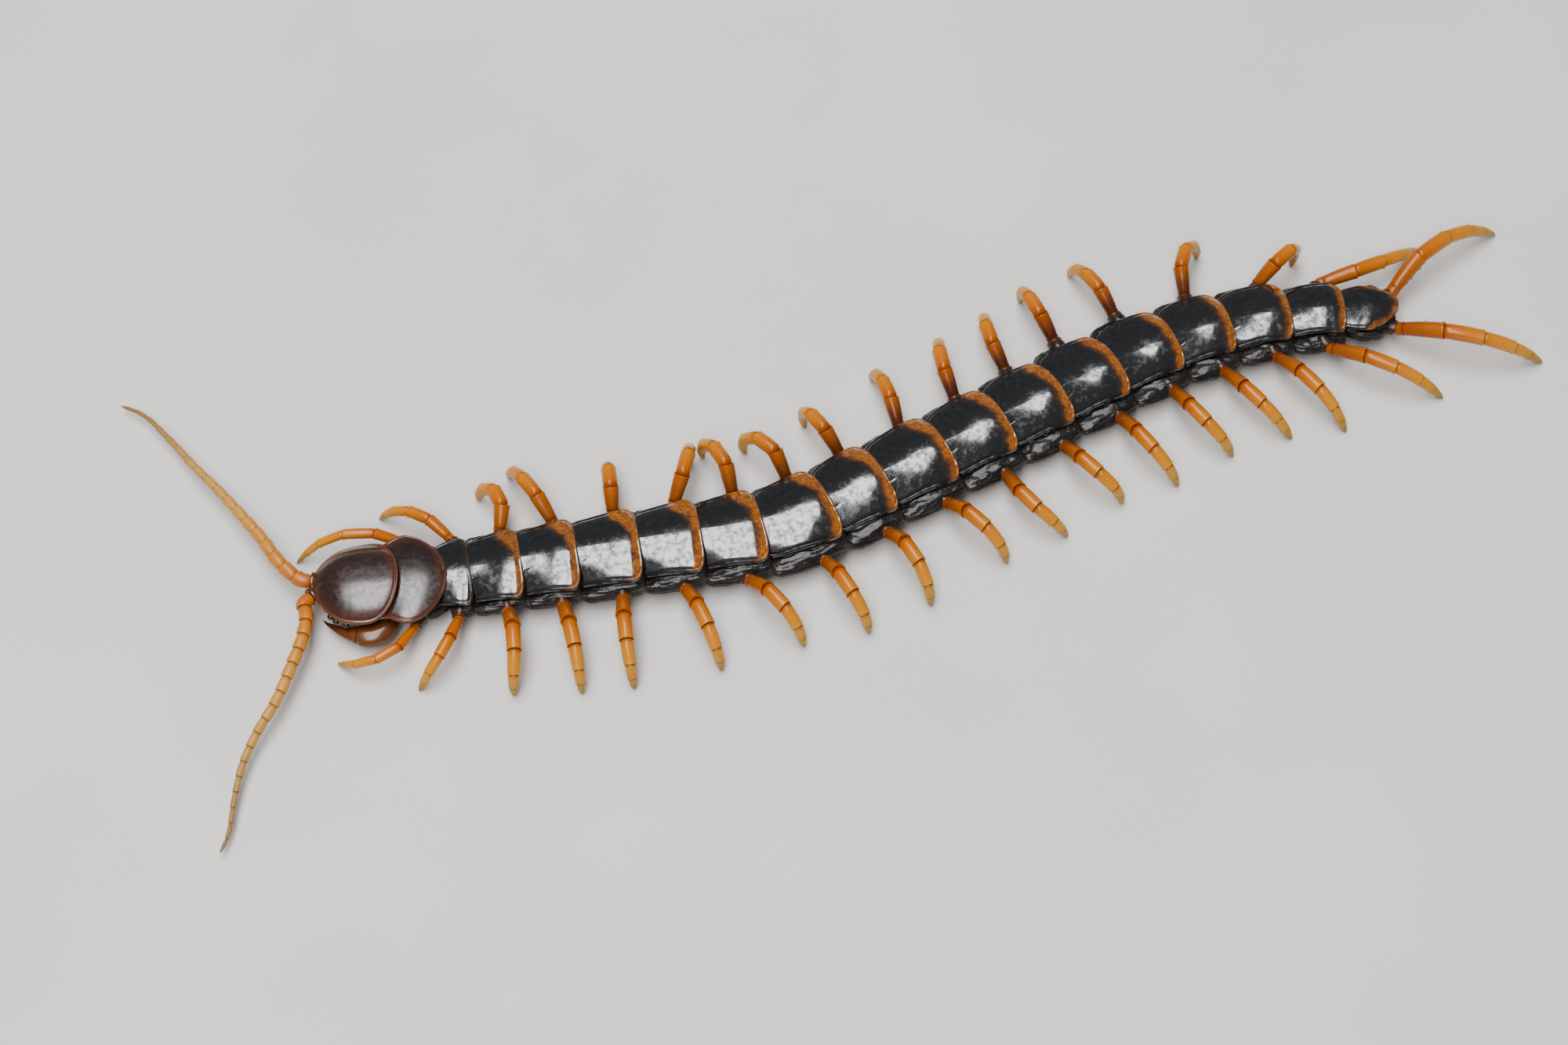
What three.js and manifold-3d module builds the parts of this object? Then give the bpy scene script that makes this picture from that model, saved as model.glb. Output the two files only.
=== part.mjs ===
// Giant centipede, life size, standing on its legs with the long body in a shallow bend.
// Millimetres, +Z up, floor at z = 0. The head points to -X and the tail to +X,
// so the animal's left side faces -Y. The origin is under the middle of the whole animal.

import * as THREE from 'three';
import Module from 'manifold-3d';

const wasm = await Module();
wasm.setup();

// Path of the body over the floor, measured from the front of the head.
// The heading is in degrees from +X towards +Y, and each bend turns it smoothly.
const FRONT_X = -91.0;
const FRONT_Y = -15.5;
const FRONT_HEADING = 5;
const BENDS = [
  { from: 10, over: 16, turn: 4.5 },
  { from: 69.5, over: 26, turn: 19.5 },
  { from: 146.5, over: 54, turn: -25.5 },
];
const PATH_STEP = 0.5;
const PATH_LENGTH = 212;

// Gap between neighbouring pieces
const GAP = 0.3;

// Head, from its front to the middle of its rear edge, which bows back over the first plate
const HEAD_LENGTH = 15.0;
const HEAD_HALF_WIDTH = 8;
const HEAD_REAR_BOW = 2.6;
const HEAD_UNDERSIDE = 4.5;
const HEAD_RIM = 6.1;
const HEAD_CROWN = 9.3;
const EYES_PER_SIDE = 4;
const EYE_RADIUS = 0.5;

// Trunk: eighteen back plates, from the first behind the head to the last over the tail.
// A bow is how far the middle of an edge reaches behind its corners.
const SEGMENT_LENGTHS = [
  7.9, 3.9, 9.0, 9.8, 10.9, 10.8, 10.9, 12.5, 11.0,
  12.6, 12.1, 12.0, 11.9, 11.9, 10.9, 11.4, 10.1, 10.3,
];
const PLATE_HALF_WIDTHS = [
  8.7, 6.7, 6.9, 7.1, 7.3, 7.3, 7.3, 7.4, 7.2,
  7.0, 6.9, 6.7, 6.4, 6.1, 5.9, 5.6, 5.2, 4.8,
];
const SEGMENTS = SEGMENT_LENGTHS.length;
const FIRST_REAR_BOW = 3.6;
const PLATE_BOW = 0.2;
const TAIL_BOW = 3.5;
const BELLY = 1.8;
const CROWN_BASE = 5.2;
const CROWN_PER_HALF_WIDTH = 0.78;
const RIM_BASE = 4.4;
const RIM_PER_HALF_WIDTH = 0.4;
const FIRST_PLATE_HEIGHT_WIDTH = 5.3;
const PLATE_THICKNESS = 0.6;
const PLATE_OVERHANG = 0.6;
// How far the soft side swells past the plate, and how much wider the plate is on its
// right, where the body leans over in its bend
const SIDE_BULGES = [0.8, 1, 1, 1, 1.1, 1.3, 1.6, 2, 2.3, 2.4, 2.5, 2.7, 2.8, 2.8, 2.8, 2.6, 2.4, 1.5];
const RIGHT_WIDENINGS = [0, 0, 0, 0, 0, 0, 0, 0, 0.3, 0.4, 0.5, 0.9, 1.5, 1.6, 1.1, 0.8, 0, 0];
const SIDE_BULGE_HEIGHT = 4.1;
const BACK_ROUNDNESS = 2.6;

// Poison-claw plate under the head, and the two claws beside it
const CLAW_PLATE_FRONT = 5.0;
const CLAW_PLATE_REAR = 14.6;
const CLAW_PLATE_HALF_WIDTH = 4.2;
const CLAW_PLATE_BOTTOM = 1.7;
const CLAW_PLATE_TOP = 4.1;
const CLAW_HEIGHT = 2.78;
const CLAW_FLATNESS = 0.75;
const CLAW_ROOT_SIDE = 4.6;
const RIGHT_CLAW_REACH = 0.7;

// Feelers: beads along a drooping curve, thinning to the tip
const FEELER_BEADS = 18;
const FEELER_ROOT_RADIUS = 1.4;
const FEELER_TIP_RADIUS = 0.3;
const FEELER_NECK = 0.8;
const FEELER_SIDES = 7;

// Legs: seven pieces each, from the short root piece to the claw
const LEG_PIECES = [1.0, 5.0, 4.7, 4.1, 2.6, 1.8, 1.1];
const LEG_BEND_REACHED = [0, 0.12, 0.4, 0.65, 0.85, 0.95, 1];
const LEG_ROOT_HEIGHT = 4.3;
const FIRST_LEG_ROOT_HEIGHT = 3.7;
const FIRST_LEG_ROOT_SIDE = 7.6;
const LEG_ROOT_RADIUS = 1.1;
const LEG_KNEE_RADII = [[1.1], [1.5, 1.2], [1.35, 1.1], [1.15, 0.95], [0.9, 0.8], [0.55]];
const LEG_TIP_RADIUS = 0.3;
const LEG_SIDES = 7;
const LEG_GIRTH_SCALES = [0.7, 0.8, 1, 1, 1, 1, 1, 1, 1, 1, 1, 1, 1, 1, 1, 1, 1, 1.1];
const STUB_REACH = 0.5;
const STUB_RADIUS = 1.4;
const STUB_DEPTH = 2.4;
const STUB_SHARE_OF_SWEEP = 0.35;
const LAST_STUB_STATION = 204.3;
const LAST_STUB_SIDE = 3.6;
const LAST_STUB_SWEEP = 60;

// Where each foot stands: its reach from the leg's root over the floor, and the sweep
// of the leg from straight sideways towards the tail, in degrees. The curl turns the
// leg in plan between its root and its tip, and the length is a share of the full one.
const LEFT_LEGS = {
  side: -1,
  along: Array(SEGMENTS).fill(0.65),
  reach: [17.5, 13.8, 14, 15.3, 15.6, 15, 14.2, 14, 14.2, 14.2, 15.8, 14.4, 15.8, 15.8, 17, 18, 22.3, 27.5],
  sweep: [-77.5, -41, -7, 3.5, -1, 15.5, 30, 10, 1, 19, 21, 23, 13.5, 19.5, 27.5, 31, 63.5, 77],
  curl: [-109, -45, -34, -8, 12, 0, -3, 14, -15, 10, 70, 56, 36, 52, 37, 10, 17, 22],
  length: [0.94, 0.83, 1, 1, 1, 1, 0.98, 1, 1, 0.98, 0.97, 0.97, 1, 1, 1, 1.06, 1.23, 1.5],
};
const RIGHT_LEGS = {
  side: 1,
  along: [...Array(10).fill(0.7), 0.66, 0.58, 0.5, 0.52, 0.62, 0.7, 0.7, 0.7],
  reach: [21, 15.2, 11.4, 14.6, 8.6, 10.8, 11.6, 10.7, 10, 13.2, 13.3, 13, 12.5, 13.5, 12.8, 10.5, 23.3, 28],
  sweep: [-88, -56.5, -29, -26.5, 1, 17, -23, -28, -5, 8.5, 23, 20, 7, -6, 45, 51, 67, 57.7],
  curl: [-38, -38, -115, 0, -8, -42, -50, -55, 20, -8, 45, 55, 34, 0, 92, -38, -33, 35],
  length: [1.17, 0.88, 0.8, 0.96, 0.83, 0.98, 0.95, 0.94, 0.9, 0.88, 0.92, 0.9, 0.94, 0.9, 0.93, 0.95, 1.23, 1.5],
};

// Feeler routes as [ahead of the head's front, to its right, height]
const LEFT_FEELER = [
  [0.3, -1.6, 5.3], [1.6, -2.9, 5.5], [1.2, -5.5, 5.6], [1.9, -9.5, 5.6],
  [3.8, -14.4, 5.2], [6.6, -20.7, 4.6], [9.9, -26.1, 4.0], [12.4, -31.5, 3.4],
  [13.9, -37.6, 2.7], [15.0, -43.8, 2.1], [16.6, -47.2, 1.7],
];
const RIGHT_FEELER = [
  [0.3, 1.6, 5.3], [2.2, 2.0, 5.5], [6.0, 6.0, 5.6], [8.7, 10.6, 5.4],
  [12.3, 15.9, 5.0], [16.5, 21.8, 4.4], [20.8, 27.4, 3.7], [25.8, 34.4, 3.0],
  [30.5, 40.2, 2.3], [35.0, 43.1, 1.7],
];

function degrees(angle) {
  return (angle * Math.PI) / 180;
}

function mix(a, b, t) {
  return a + (b - a) * t;
}

function smoothStep(t) {
  const c = Math.min(1, Math.max(0, t));
  return c * c * (3 - 2 * c);
}

function headingAt(station) {
  let heading = FRONT_HEADING;
  for (const bend of BENDS) {
    heading += bend.turn * smoothStep((station - bend.from) / bend.over);
  }
  return degrees(heading);
}

// The path's points at every step, worked out once by adding up short straight steps
function tracePath() {
  const points = [[FRONT_X, FRONT_Y]];
  for (let station = 0; station < PATH_LENGTH; station += PATH_STEP) {
    const heading = headingAt(station + PATH_STEP / 2);
    const [x, y] = points[points.length - 1];
    points.push([x + PATH_STEP * Math.cos(heading), y + PATH_STEP * Math.sin(heading)]);
  }
  return points;
}

const PATH = tracePath();

// A point at a station along the body, at a distance to its right, and at a height
function place(station, right, z) {
  const steps = Math.max(0, station) / PATH_STEP;
  const i = Math.min(PATH.length - 2, Math.floor(steps));
  const heading = headingAt(station);
  const before = Math.min(0, station);
  const x = mix(PATH[i][0], PATH[i + 1][0], steps - i) + before * Math.cos(heading);
  const y = mix(PATH[i][1], PATH[i + 1][1], steps - i) + before * Math.sin(heading);
  return new THREE.Vector3(x - right * Math.sin(heading), y + right * Math.cos(heading), z);
}

// A horizontal direction: straight sideways turned by the sweep towards the tail
function sideways(station, side, sweep) {
  const heading = headingAt(station);
  const along = Math.sin(degrees(sweep));
  const across = side * Math.cos(degrees(sweep));
  return new THREE.Vector3(
    along * Math.cos(heading) - across * Math.sin(heading),
    along * Math.sin(heading) + across * Math.cos(heading),
    0,
  );
}

function signedVolume(points, faces) {
  let volume = 0;
  for (const [a, b, c] of faces) {
    volume += points[a].dot(points[b].clone().cross(points[c])) / 6;
  }
  return volume;
}

// A closed solid through a row of rings with the same number of points
function loft(rings) {
  const count = rings[0].length;
  const points = rings.flat();
  const faces = [];
  for (let r = 0; r + 1 < rings.length; r++) {
    for (let i = 0; i < count; i++) {
      const a = r * count + i;
      const b = r * count + ((i + 1) % count);
      faces.push([a, b, b + count], [a, b + count, a + count]);
    }
  }
  const last = points.length - count;
  for (let i = 1; i + 1 < count; i++) {
    faces.push([0, i + 1, i], [last, last + i, last + i + 1]);
  }
  if (signedVolume(points, faces) < 0) {
    faces.forEach((face) => face.reverse());
  }
  return { points, faces };
}

function toManifold(solid) {
  const vertProperties = new Float32Array(solid.points.flatMap((p) => [p.x, p.y, p.z]));
  const triVerts = new Uint32Array(solid.faces.flat());
  return new wasm.Manifold(new wasm.Mesh({ numProp: 3, vertProperties, triVerts }));
}

// Joins overlapping solids and keeps the largest closed surface
function join(solids) {
  let whole = toManifold(solids[0]);
  for (const solid of solids.slice(1)) {
    whole = whole.add(toManifold(solid));
  }
  const bodies = whole.decompose();
  bodies.sort((a, b) => b.volume() - a.volume());
  const mesh = bodies[0].getMesh();
  const geometry = new THREE.BufferGeometry();
  const positions = [];
  for (let i = 0; i < mesh.numVert; i++) {
    positions.push(...mesh.vertProperties.slice(i * mesh.numProp, i * mesh.numProp + 3));
  }
  geometry.setAttribute('position', new THREE.Float32BufferAttribute(positions, 3));
  geometry.setIndex(Array.from(mesh.triVerts));
  geometry.computeVertexNormals();
  return geometry;
}

function toGeometry(solid) {
  const geometry = new THREE.BufferGeometry();
  const positions = solid.points.flatMap((p) => [p.x, p.y, p.z]);
  geometry.setAttribute('position', new THREE.Float32BufferAttribute(positions, 3));
  geometry.setIndex(solid.faces.flat());
  geometry.computeVertexNormals();
  return geometry;
}

// A ring of points round a centre, square to a direction, with one axis kept level
function roundRing(centre, direction, radius, sides, flatness = 1) {
  const level = new THREE.Vector3(-direction.y, direction.x, 0).normalize();
  const upright = direction.clone().cross(level).normalize();
  const ring = [];
  for (let i = 0; i < sides; i++) {
    const angle = (2 * Math.PI * (i + 0.5)) / sides;
    const point = centre.clone();
    point.addScaledVector(level, radius * Math.cos(angle));
    point.addScaledVector(upright, radius * flatness * Math.sin(angle));
    ring.push(point);
  }
  return ring;
}

// Station of a bowed edge at a distance from the midline
function bowedStation(station, bow, right, halfWidth) {
  return station - bow * (right / halfWidth) ** 2;
}

// Half of a section, from the middle of the back to the belly, as [right, height]
function trunkHalfSection({ half, rim, crown, sideHalf }) {
  const section = [0, 0.45, 0.8, 1].map((u) => [
    u * half,
    rim + (crown - rim) * (1 - u ** BACK_ROUNDNESS),
  ]);
  section.push([half - 0.1, rim - PLATE_THICKNESS]);
  section.push([half - PLATE_OVERHANG, rim - PLATE_THICKNESS - 0.2]);
  section.push([sideHalf, SIDE_BULGE_HEIGHT]);
  section.push([sideHalf - 1.0, BELLY + 0.7]);
  section.push([sideHalf * 0.6, BELLY]);
  return section;
}

function mirrored(halfSection) {
  const left = halfSection.slice(1).reverse().map(([right, z]) => [-right, z]);
  return [...left, ...halfSection];
}

// A section of the body drawn at its station, shrunk towards its own middle by a factor
function sectionRing(section, station, bow, bowHalf, shrink = 1) {
  const heights = section.map(([, z]) => z);
  const middle = (Math.max(...heights) + Math.min(...heights)) / 2;
  return section.map(([right, z]) => {
    const r = right * shrink;
    return place(bowedStation(station, bow, r, bowHalf), r, middle + (z - middle) * shrink);
  });
}

// Extra rings that fill a strongly bowed end, from the rim inwards
function bowedEnd(section, station, bow, bowHalf) {
  if (bow < 1) {
    return [];
  }
  return [0.66, 0.3].map((shrink) => sectionRing(section, station, bow, bowHalf, shrink));
}

// Edges of the trunk: edge 0 is the head's rear edge and edge i is the rear edge of plate i
function trunkEdge(i) {
  let station = HEAD_LENGTH + GAP;
  for (const length of SEGMENT_LENGTHS.slice(0, i)) {
    station += length;
  }
  const bows = { 0: HEAD_REAR_BOW, 1: FIRST_REAR_BOW, [SEGMENTS]: TAIL_BOW };
  const half = i === 0 ? HEAD_HALF_WIDTH : PLATE_HALF_WIDTHS[i - 1];
  const bow = bows[i] ?? PLATE_BOW;
  return { station, bow, half, clearance: GAP / 2 + 0.04 * bow };
}

// Sections of a plate from front to rear: share of its length, share of its width,
// drop of its top, and share of the bulge of the soft side below it
const PLATE_SHAPE = [
  [0, 0.84, 0.6, -0.15],
  [0.18, 0.87, 0.52, 0.8],
  [0.4, 0.91, 0.38, 1],
  [0.7, 0.97, 0.12, 0.4],
  [0.94, 1, 0, 0.1],
  [1, 0.96, 0.1, -0.05],
];
const FIRST_PLATE_SHAPE = [
  [0, 0.86, 0.3, -4.8],
  [0.3, 0.96, 0, -3.4],
  [0.6, 1, 0.18, -2],
  [0.85, 0.95, 0.44, -2.5],
  [1, 0.84, 0.62, -3],
];
const TAIL_PLATE_SHAPE = [
  [0, 0.84, 0.6, -0.4],
  [0.3, 0.95, 0.4, 0.6],
  [0.6, 1, 0.2, 0.6],
  [0.85, 0.9, 0.3, -0.5],
  [1, 0.76, 0.6, -1.5],
];

function plateShape(i) {
  if (i === 0) {
    return FIRST_PLATE_SHAPE;
  }
  return i === SEGMENTS - 1 ? TAIL_PLATE_SHAPE : PLATE_SHAPE;
}

function trunkSection(i, widthShare, drop, bulge) {
  const full = PLATE_HALF_WIDTHS[i];
  const heightWidth = i === 0 ? FIRST_PLATE_HEIGHT_WIDTH : full;
  return mirrored(
    trunkHalfSection({
      half: full * widthShare,
      rim: RIM_BASE + RIM_PER_HALF_WIDTH * heightWidth - drop / 2,
      crown: CROWN_BASE + CROWN_PER_HALF_WIDTH * heightWidth - drop,
      sideHalf: full + SIDE_BULGES[i] * bulge,
    }),
  );
}

function wideningFactor(i, share) {
  return 1 + (RIGHT_WIDENINGS[i] * (1 - 0.6 * share ** 2)) / PLATE_HALF_WIDTHS[i];
}

function widened(section, i, share) {
  const factor = wideningFactor(i, share);
  return section.map(([right, z]) => [right > 0 ? right * factor : right, z]);
}

// How far the soft side swells at a share of the segment's length
function bulgeAt(i, share) {
  const rows = plateShape(i);
  const next = rows.findIndex(([at]) => at >= share);
  const [before, after] = [rows[next - 1], rows[next]];
  return SIDE_BULGES[i] * mix(before[3], after[3], (share - before[0]) / (after[0] - before[0]));
}

function trunkSolid(i) {
  const front = trunkEdge(i);
  const rear = trunkEdge(i + 1);
  const start = front.station + front.clearance;
  const end = rear.station - rear.clearance;
  const rings = plateShape(i).map(([share, widthShare, drop, bulge]) => {
    const section = widened(trunkSection(i, widthShare, drop, bulge), i, share);
    const bow = mix(front.bow, rear.bow, share);
    const bowHalf = mix(front.half, rear.half, share);
    return { section, station: mix(start, end, share), bow, bowHalf };
  });
  const drawn = rings.map((r) => sectionRing(r.section, r.station, r.bow, r.bowHalf));
  const first = rings[0];
  const last = rings[rings.length - 1];
  const frontEnd = bowedEnd(first.section, first.station, first.bow, first.bowHalf).reverse();
  const rearEnd = bowedEnd(last.section, last.station, last.bow, last.bowHalf);
  return loft([...frontEnd, ...drawn, ...rearEnd]);
}

function rootHeight(i) {
  return i === 0 ? FIRST_LEG_ROOT_HEIGHT : LEG_ROOT_HEIGHT;
}

// Station of a leg's root along the body
function legStation(i, legs) {
  if (i === SEGMENTS - 1) {
    return LAST_STUB_STATION;
  }
  const front = trunkEdge(i);
  const rear = trunkEdge(i + 1);
  return mix(front.station - front.bow, rear.station - rear.bow, legs.along[i]);
}

// Distance of a leg's root from the middle of the body
function rootSide(i, legs) {
  if (i === 0 || i === SEGMENTS - 1) {
    return i === 0 ? FIRST_LEG_ROOT_SIDE : LAST_STUB_SIDE;
  }
  const side = PLATE_HALF_WIDTHS[i] + bulgeAt(i, legs.along[i]);
  const wider = legs.side > 0 ? wideningFactor(i, legs.along[i]) : 1;
  return side * wider + STUB_REACH;
}

// Root of a leg: the middle of the flat outer face of its stub, and the way it points
function legRoot(i, legs) {
  const station = legStation(i, legs);
  const sweep = i === SEGMENTS - 1 ? LAST_STUB_SWEEP : legs.sweep[i] * STUB_SHARE_OF_SWEEP;
  return {
    centre: place(station, legs.side * rootSide(i, legs), rootHeight(i)),
    direction: sideways(station, legs.side, sweep),
  };
}

function stubSolid(i, legs) {
  const girth = Math.min(1, LEG_GIRTH_SCALES[i] * 1.1);
  const { centre, direction } = legRoot(i, legs);
  const inner = centre.clone().addScaledVector(direction, -STUB_DEPTH);
  return loft([
    roundRing(inner, direction, STUB_RADIUS * girth, LEG_SIDES),
    roundRing(centre, direction, STUB_RADIUS * girth * 0.85, LEG_SIDES),
  ]);
}

function segmentGeometry(i) {
  return join([trunkSolid(i), stubSolid(i, LEFT_LEGS), stubSolid(i, RIGHT_LEGS)]);
}

// Ends of the leg's pieces in its upright plane, as [out, up], for a total bend in radians
function chainInPlane(lengths, bend) {
  const points = [[0, 0]];
  lengths.forEach((length, k) => {
    const slope = -bend * LEG_BEND_REACHED[k];
    const [out, up] = points[k];
    points.push([out + length * Math.cos(slope), up + length * Math.sin(slope)]);
  });
  return points;
}

function chordOf(points) {
  const [out, up] = points[points.length - 1];
  return { length: Math.hypot(out, up), slope: Math.atan2(up, out) };
}

// Slopes of the leg's pieces so that a chain from the root ends at the foot
function legSlopes(lengths, reach, drop) {
  const wanted = Math.hypot(reach, drop);
  let low = 0;
  let high = Math.PI * 1.2;
  for (let k = 0; k < 40; k++) {
    const middle = (low + high) / 2;
    const tooLong = chordOf(chainInPlane(lengths, middle)).length > wanted;
    low = tooLong ? middle : low;
    high = tooLong ? high : middle;
  }
  const turn = Math.atan2(-drop, reach) - chordOf(chainInPlane(lengths, low)).slope;
  return LEG_BEND_REACHED.map((share) => turn - low * share);
}

function legDirections(i, legs) {
  const station = legStation(i, legs);
  const lengths = LEG_PIECES.map((piece) => piece * legs.length[i]);
  const slopes = legSlopes(lengths, legs.reach[i], rootHeight(i));
  return slopes.map((slope, k) => {
    const sweep = legs.sweep[i] + legs.curl[i] * (LEG_BEND_REACHED[k] - 0.5);
    const flat = sideways(station, legs.side, sweep).multiplyScalar(Math.cos(slope));
    return flat.setZ(Math.sin(slope));
  });
}

function legGeometry(i, legs) {
  const girth = LEG_GIRTH_SCALES[i];
  const { centre, direction } = legRoot(i, legs);
  const directions = legDirections(i, legs);
  const joint = centre.clone().addScaledVector(direction, GAP);
  const rings = [roundRing(joint, direction, LEG_ROOT_RADIUS * girth, LEG_SIDES)];
  LEG_PIECES.forEach((piece, k) => {
    joint.addScaledVector(directions[k], piece * legs.length[i]);
    if (k < LEG_KNEE_RADII.length) {
      const before = k === 0 ? direction : directions[k];
      const through = before.clone().add(directions[k + 1]).normalize();
      LEG_KNEE_RADII[k].forEach((radius, after) => {
        const centreOfRing = joint.clone().addScaledVector(through, after ? 0.25 : -0.1);
        rings.push(roundRing(centreOfRing, through, radius * girth, LEG_SIDES));
      });
    }
  });
  const plan = new THREE.Vector3(joint.x - centre.x, joint.y - centre.y, 0).normalize();
  const level = new THREE.Vector3(-plan.y, plan.x, 0);
  rings.push(footRing(joint, plan, level));
  return toGeometry(loft(rings));
}

// The small flat that the leg stands on
function footRing(foot, plan, level) {
  const ring = [];
  for (let i = 0; i < LEG_SIDES; i++) {
    const angle = (2 * Math.PI * (i + 0.5)) / LEG_SIDES;
    const point = new THREE.Vector3(foot.x, foot.y, 0);
    point.addScaledVector(level, LEG_TIP_RADIUS * Math.cos(angle));
    point.addScaledVector(plan, LEG_TIP_RADIUS * Math.sin(angle));
    ring.push(point);
  }
  return ring;
}

// Head outline: station, share of the half width, share of the crown's rise over the rim
const HEAD_SHAPE = [
  [0, 0.4, 0.2],
  [1.0, 0.56, 0.42],
  [2.2, 0.7, 0.6],
  [4.0, 0.86, 0.78],
  [7.0, 0.97, 0.92],
  [10.5, 1, 1],
  [13.5, 0.99, 1],
  [15.0, 0.96, 0.95],
];

function headSection(widthShare, rise) {
  const half = HEAD_HALF_WIDTH * widthShare;
  const crown = HEAD_RIM + (HEAD_CROWN - HEAD_RIM) * rise;
  const section = [0, 0.3, 0.58, 0.82, 1].map((u) => [
    u * half,
    HEAD_RIM + (crown - HEAD_RIM) * (1 - u ** BACK_ROUNDNESS),
  ]);
  section.push([half - 0.2, HEAD_RIM - 0.6]);
  section.push([half * 0.8, HEAD_UNDERSIDE]);
  return mirrored(section);
}

function headSolid() {
  const rings = HEAD_SHAPE.map(([station, widthShare, rise]) => {
    const bow = HEAD_REAR_BOW * smoothStep((station - 4) / (HEAD_LENGTH - 4));
    return sectionRing(headSection(widthShare, rise), station, bow, HEAD_HALF_WIDTH);
  });
  const [station, widthShare, rise] = HEAD_SHAPE[HEAD_SHAPE.length - 1];
  const rear = bowedEnd(headSection(widthShare, rise), station, HEAD_REAR_BOW, HEAD_HALF_WIDTH);
  return loft([...rings, ...rear]);
}

// Simple eyes in a small cluster near each front corner of the head
function eyeSolid(k, side) {
  const station = 3.0 + 0.85 * k;
  const right = side * (5.9 + 0.4 * k + (k % 2) * 0.4);
  const centre = place(station, right, HEAD_RIM + 0.1 - (k % 2) * 0.35);
  const direction = new THREE.Vector3(0, 0, 1);
  const rings = [-1, 0, 0.8].map((step) => {
    const middle = centre.clone().addScaledVector(direction, step * EYE_RADIUS);
    return roundRing(middle, direction, EYE_RADIUS * Math.sqrt(1.05 - step * step * 0.9), 6);
  });
  return loft(rings);
}

function headGeometry() {
  const solids = [headSolid()];
  for (const side of [-1, 1]) {
    for (let k = 0; k < EYES_PER_SIDE; k++) {
      solids.push(eyeSolid(k, side));
    }
  }
  return join(solids);
}

// Plate under the head between the poison claws, narrowing to two blunt teeth in front
function clawPlateGeometry() {
  const shape = [
    [0, 0.42, 0.5],
    [0.15, 0.7, 0.8],
    [0.45, 1, 1],
    [1, 1, 1],
  ];
  const rings = shape.map(([share, widthShare, depth]) => {
    const half = CLAW_PLATE_HALF_WIDTH * widthShare;
    const bottom = mix(CLAW_PLATE_TOP, CLAW_PLATE_BOTTOM, depth);
    const section = mirrored([
      [0, CLAW_PLATE_TOP],
      [half - 0.4, CLAW_PLATE_TOP],
      [half, CLAW_PLATE_TOP - 0.5],
      [half, bottom + 0.7],
      [half * 0.6, bottom],
    ]);
    const station = mix(CLAW_PLATE_FRONT, CLAW_PLATE_REAR - HEAD_REAR_BOW * 0.3, share);
    return sectionRing(section, station, 0, HEAD_HALF_WIDTH);
  });
  return toGeometry(loft(rings));
}

// Poison claw rings: station, distance from the midline, turn from straight outwards
// towards the front in degrees, and radius. The step in radius is the joint of the tip.
const CLAW_SHAPE = [
  [12.9, 4.6, 0, 1.7],
  [12.8, 6.0, 10, 1.8],
  [12.1, 7.4, 40, 2.0],
  [10.9, 8.3, 68, 2.1],
  [9.3, 8.6, 88, 2.05],
  [7.7, 8.4, 100, 1.85],
  [7.2, 8.3, 103, 1.5],
  [5.2, 7.6, 113, 1.15],
  [3.3, 6.5, 122, 0.8],
  [2.1, 5.6, 128, 0.5],
  [1.3, 4.7, 135, 0.2],
];

function clawGeometry(side) {
  const rings = CLAW_SHAPE.map(([station, right, turn, radius]) => {
    const reach = side > 0 ? RIGHT_CLAW_REACH : 1;
    const out = CLAW_ROOT_SIDE + (right - CLAW_ROOT_SIDE) * reach;
    const centre = place(station, side * out, CLAW_HEIGHT);
    return roundRing(centre, sideways(station, side, -turn), radius, LEG_SIDES, CLAW_FLATNESS);
  });
  return toGeometry(loft(rings));
}

// A feeler is drawn with two rings to a bead, a narrow neck and a wider outer end
function feelerGeometry(route) {
  const points = route.map(([ahead, right, z]) => place(-ahead, right, z));
  const curve = new THREE.CatmullRomCurve3(points, false, 'centripetal');
  const rings = [];
  for (let bead = 0; bead < FEELER_BEADS; bead++) {
    for (const [share, girth] of [[0.08, FEELER_NECK], [0.85, 1]]) {
      const t = (bead + share) / FEELER_BEADS;
      const radius = mix(FEELER_ROOT_RADIUS, FEELER_TIP_RADIUS, t ** 1.2) * girth;
      const atRoot = bead + share < 0.2;
      const direction = atRoot ? place(-1, 0, 0).sub(place(0, 0, 0)) : curve.getTangentAt(t);
      const start = curve.getPointAt(atRoot ? 0 : t);
      rings.push(roundRing(start, direction.normalize(), radius, FEELER_SIDES));
    }
  }
  return toGeometry(loft(rings));
}

function shell(name, colour, roughness = 0.28) {
  return new THREE.MeshStandardMaterial({ name, color: colour, roughness, metalness: 0 });
}

const MATERIALS = {
  headShell: shell('head_shell', 0x4a1f12, 0.25),
  frontPlate: shell('front_plate', 0x3a1c14, 0.25),
  trunkShell: shell('trunk_shell', 0x1b1c1e, 0.28),
  poisonClaw: shell('poison_claw', 0x8a4a1c, 0.3),
  feeler: shell('feeler', 0xb87a2a, 0.4),
  leg: shell('leg', 0xc97a28, 0.35),
};

const centipede = new THREE.Group();
centipede.name = 'giant_centipede';

function addPart(name, geometry, material) {
  const mesh = new THREE.Mesh(geometry, material.clone());
  mesh.name = name;
  centipede.add(mesh);
}

function numbered(name, i) {
  return `${name}_${String(i + 1).padStart(2, '0')}`;
}

addPart('head', headGeometry(), MATERIALS.headShell);
addPart('antenna_left', feelerGeometry(LEFT_FEELER), MATERIALS.feeler);
addPart('antenna_right', feelerGeometry(RIGHT_FEELER), MATERIALS.feeler);
addPart('forcipule_base', clawPlateGeometry(), MATERIALS.poisonClaw);
addPart('forcipule_left', clawGeometry(-1), MATERIALS.poisonClaw);
addPart('forcipule_right', clawGeometry(1), MATERIALS.poisonClaw);

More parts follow.
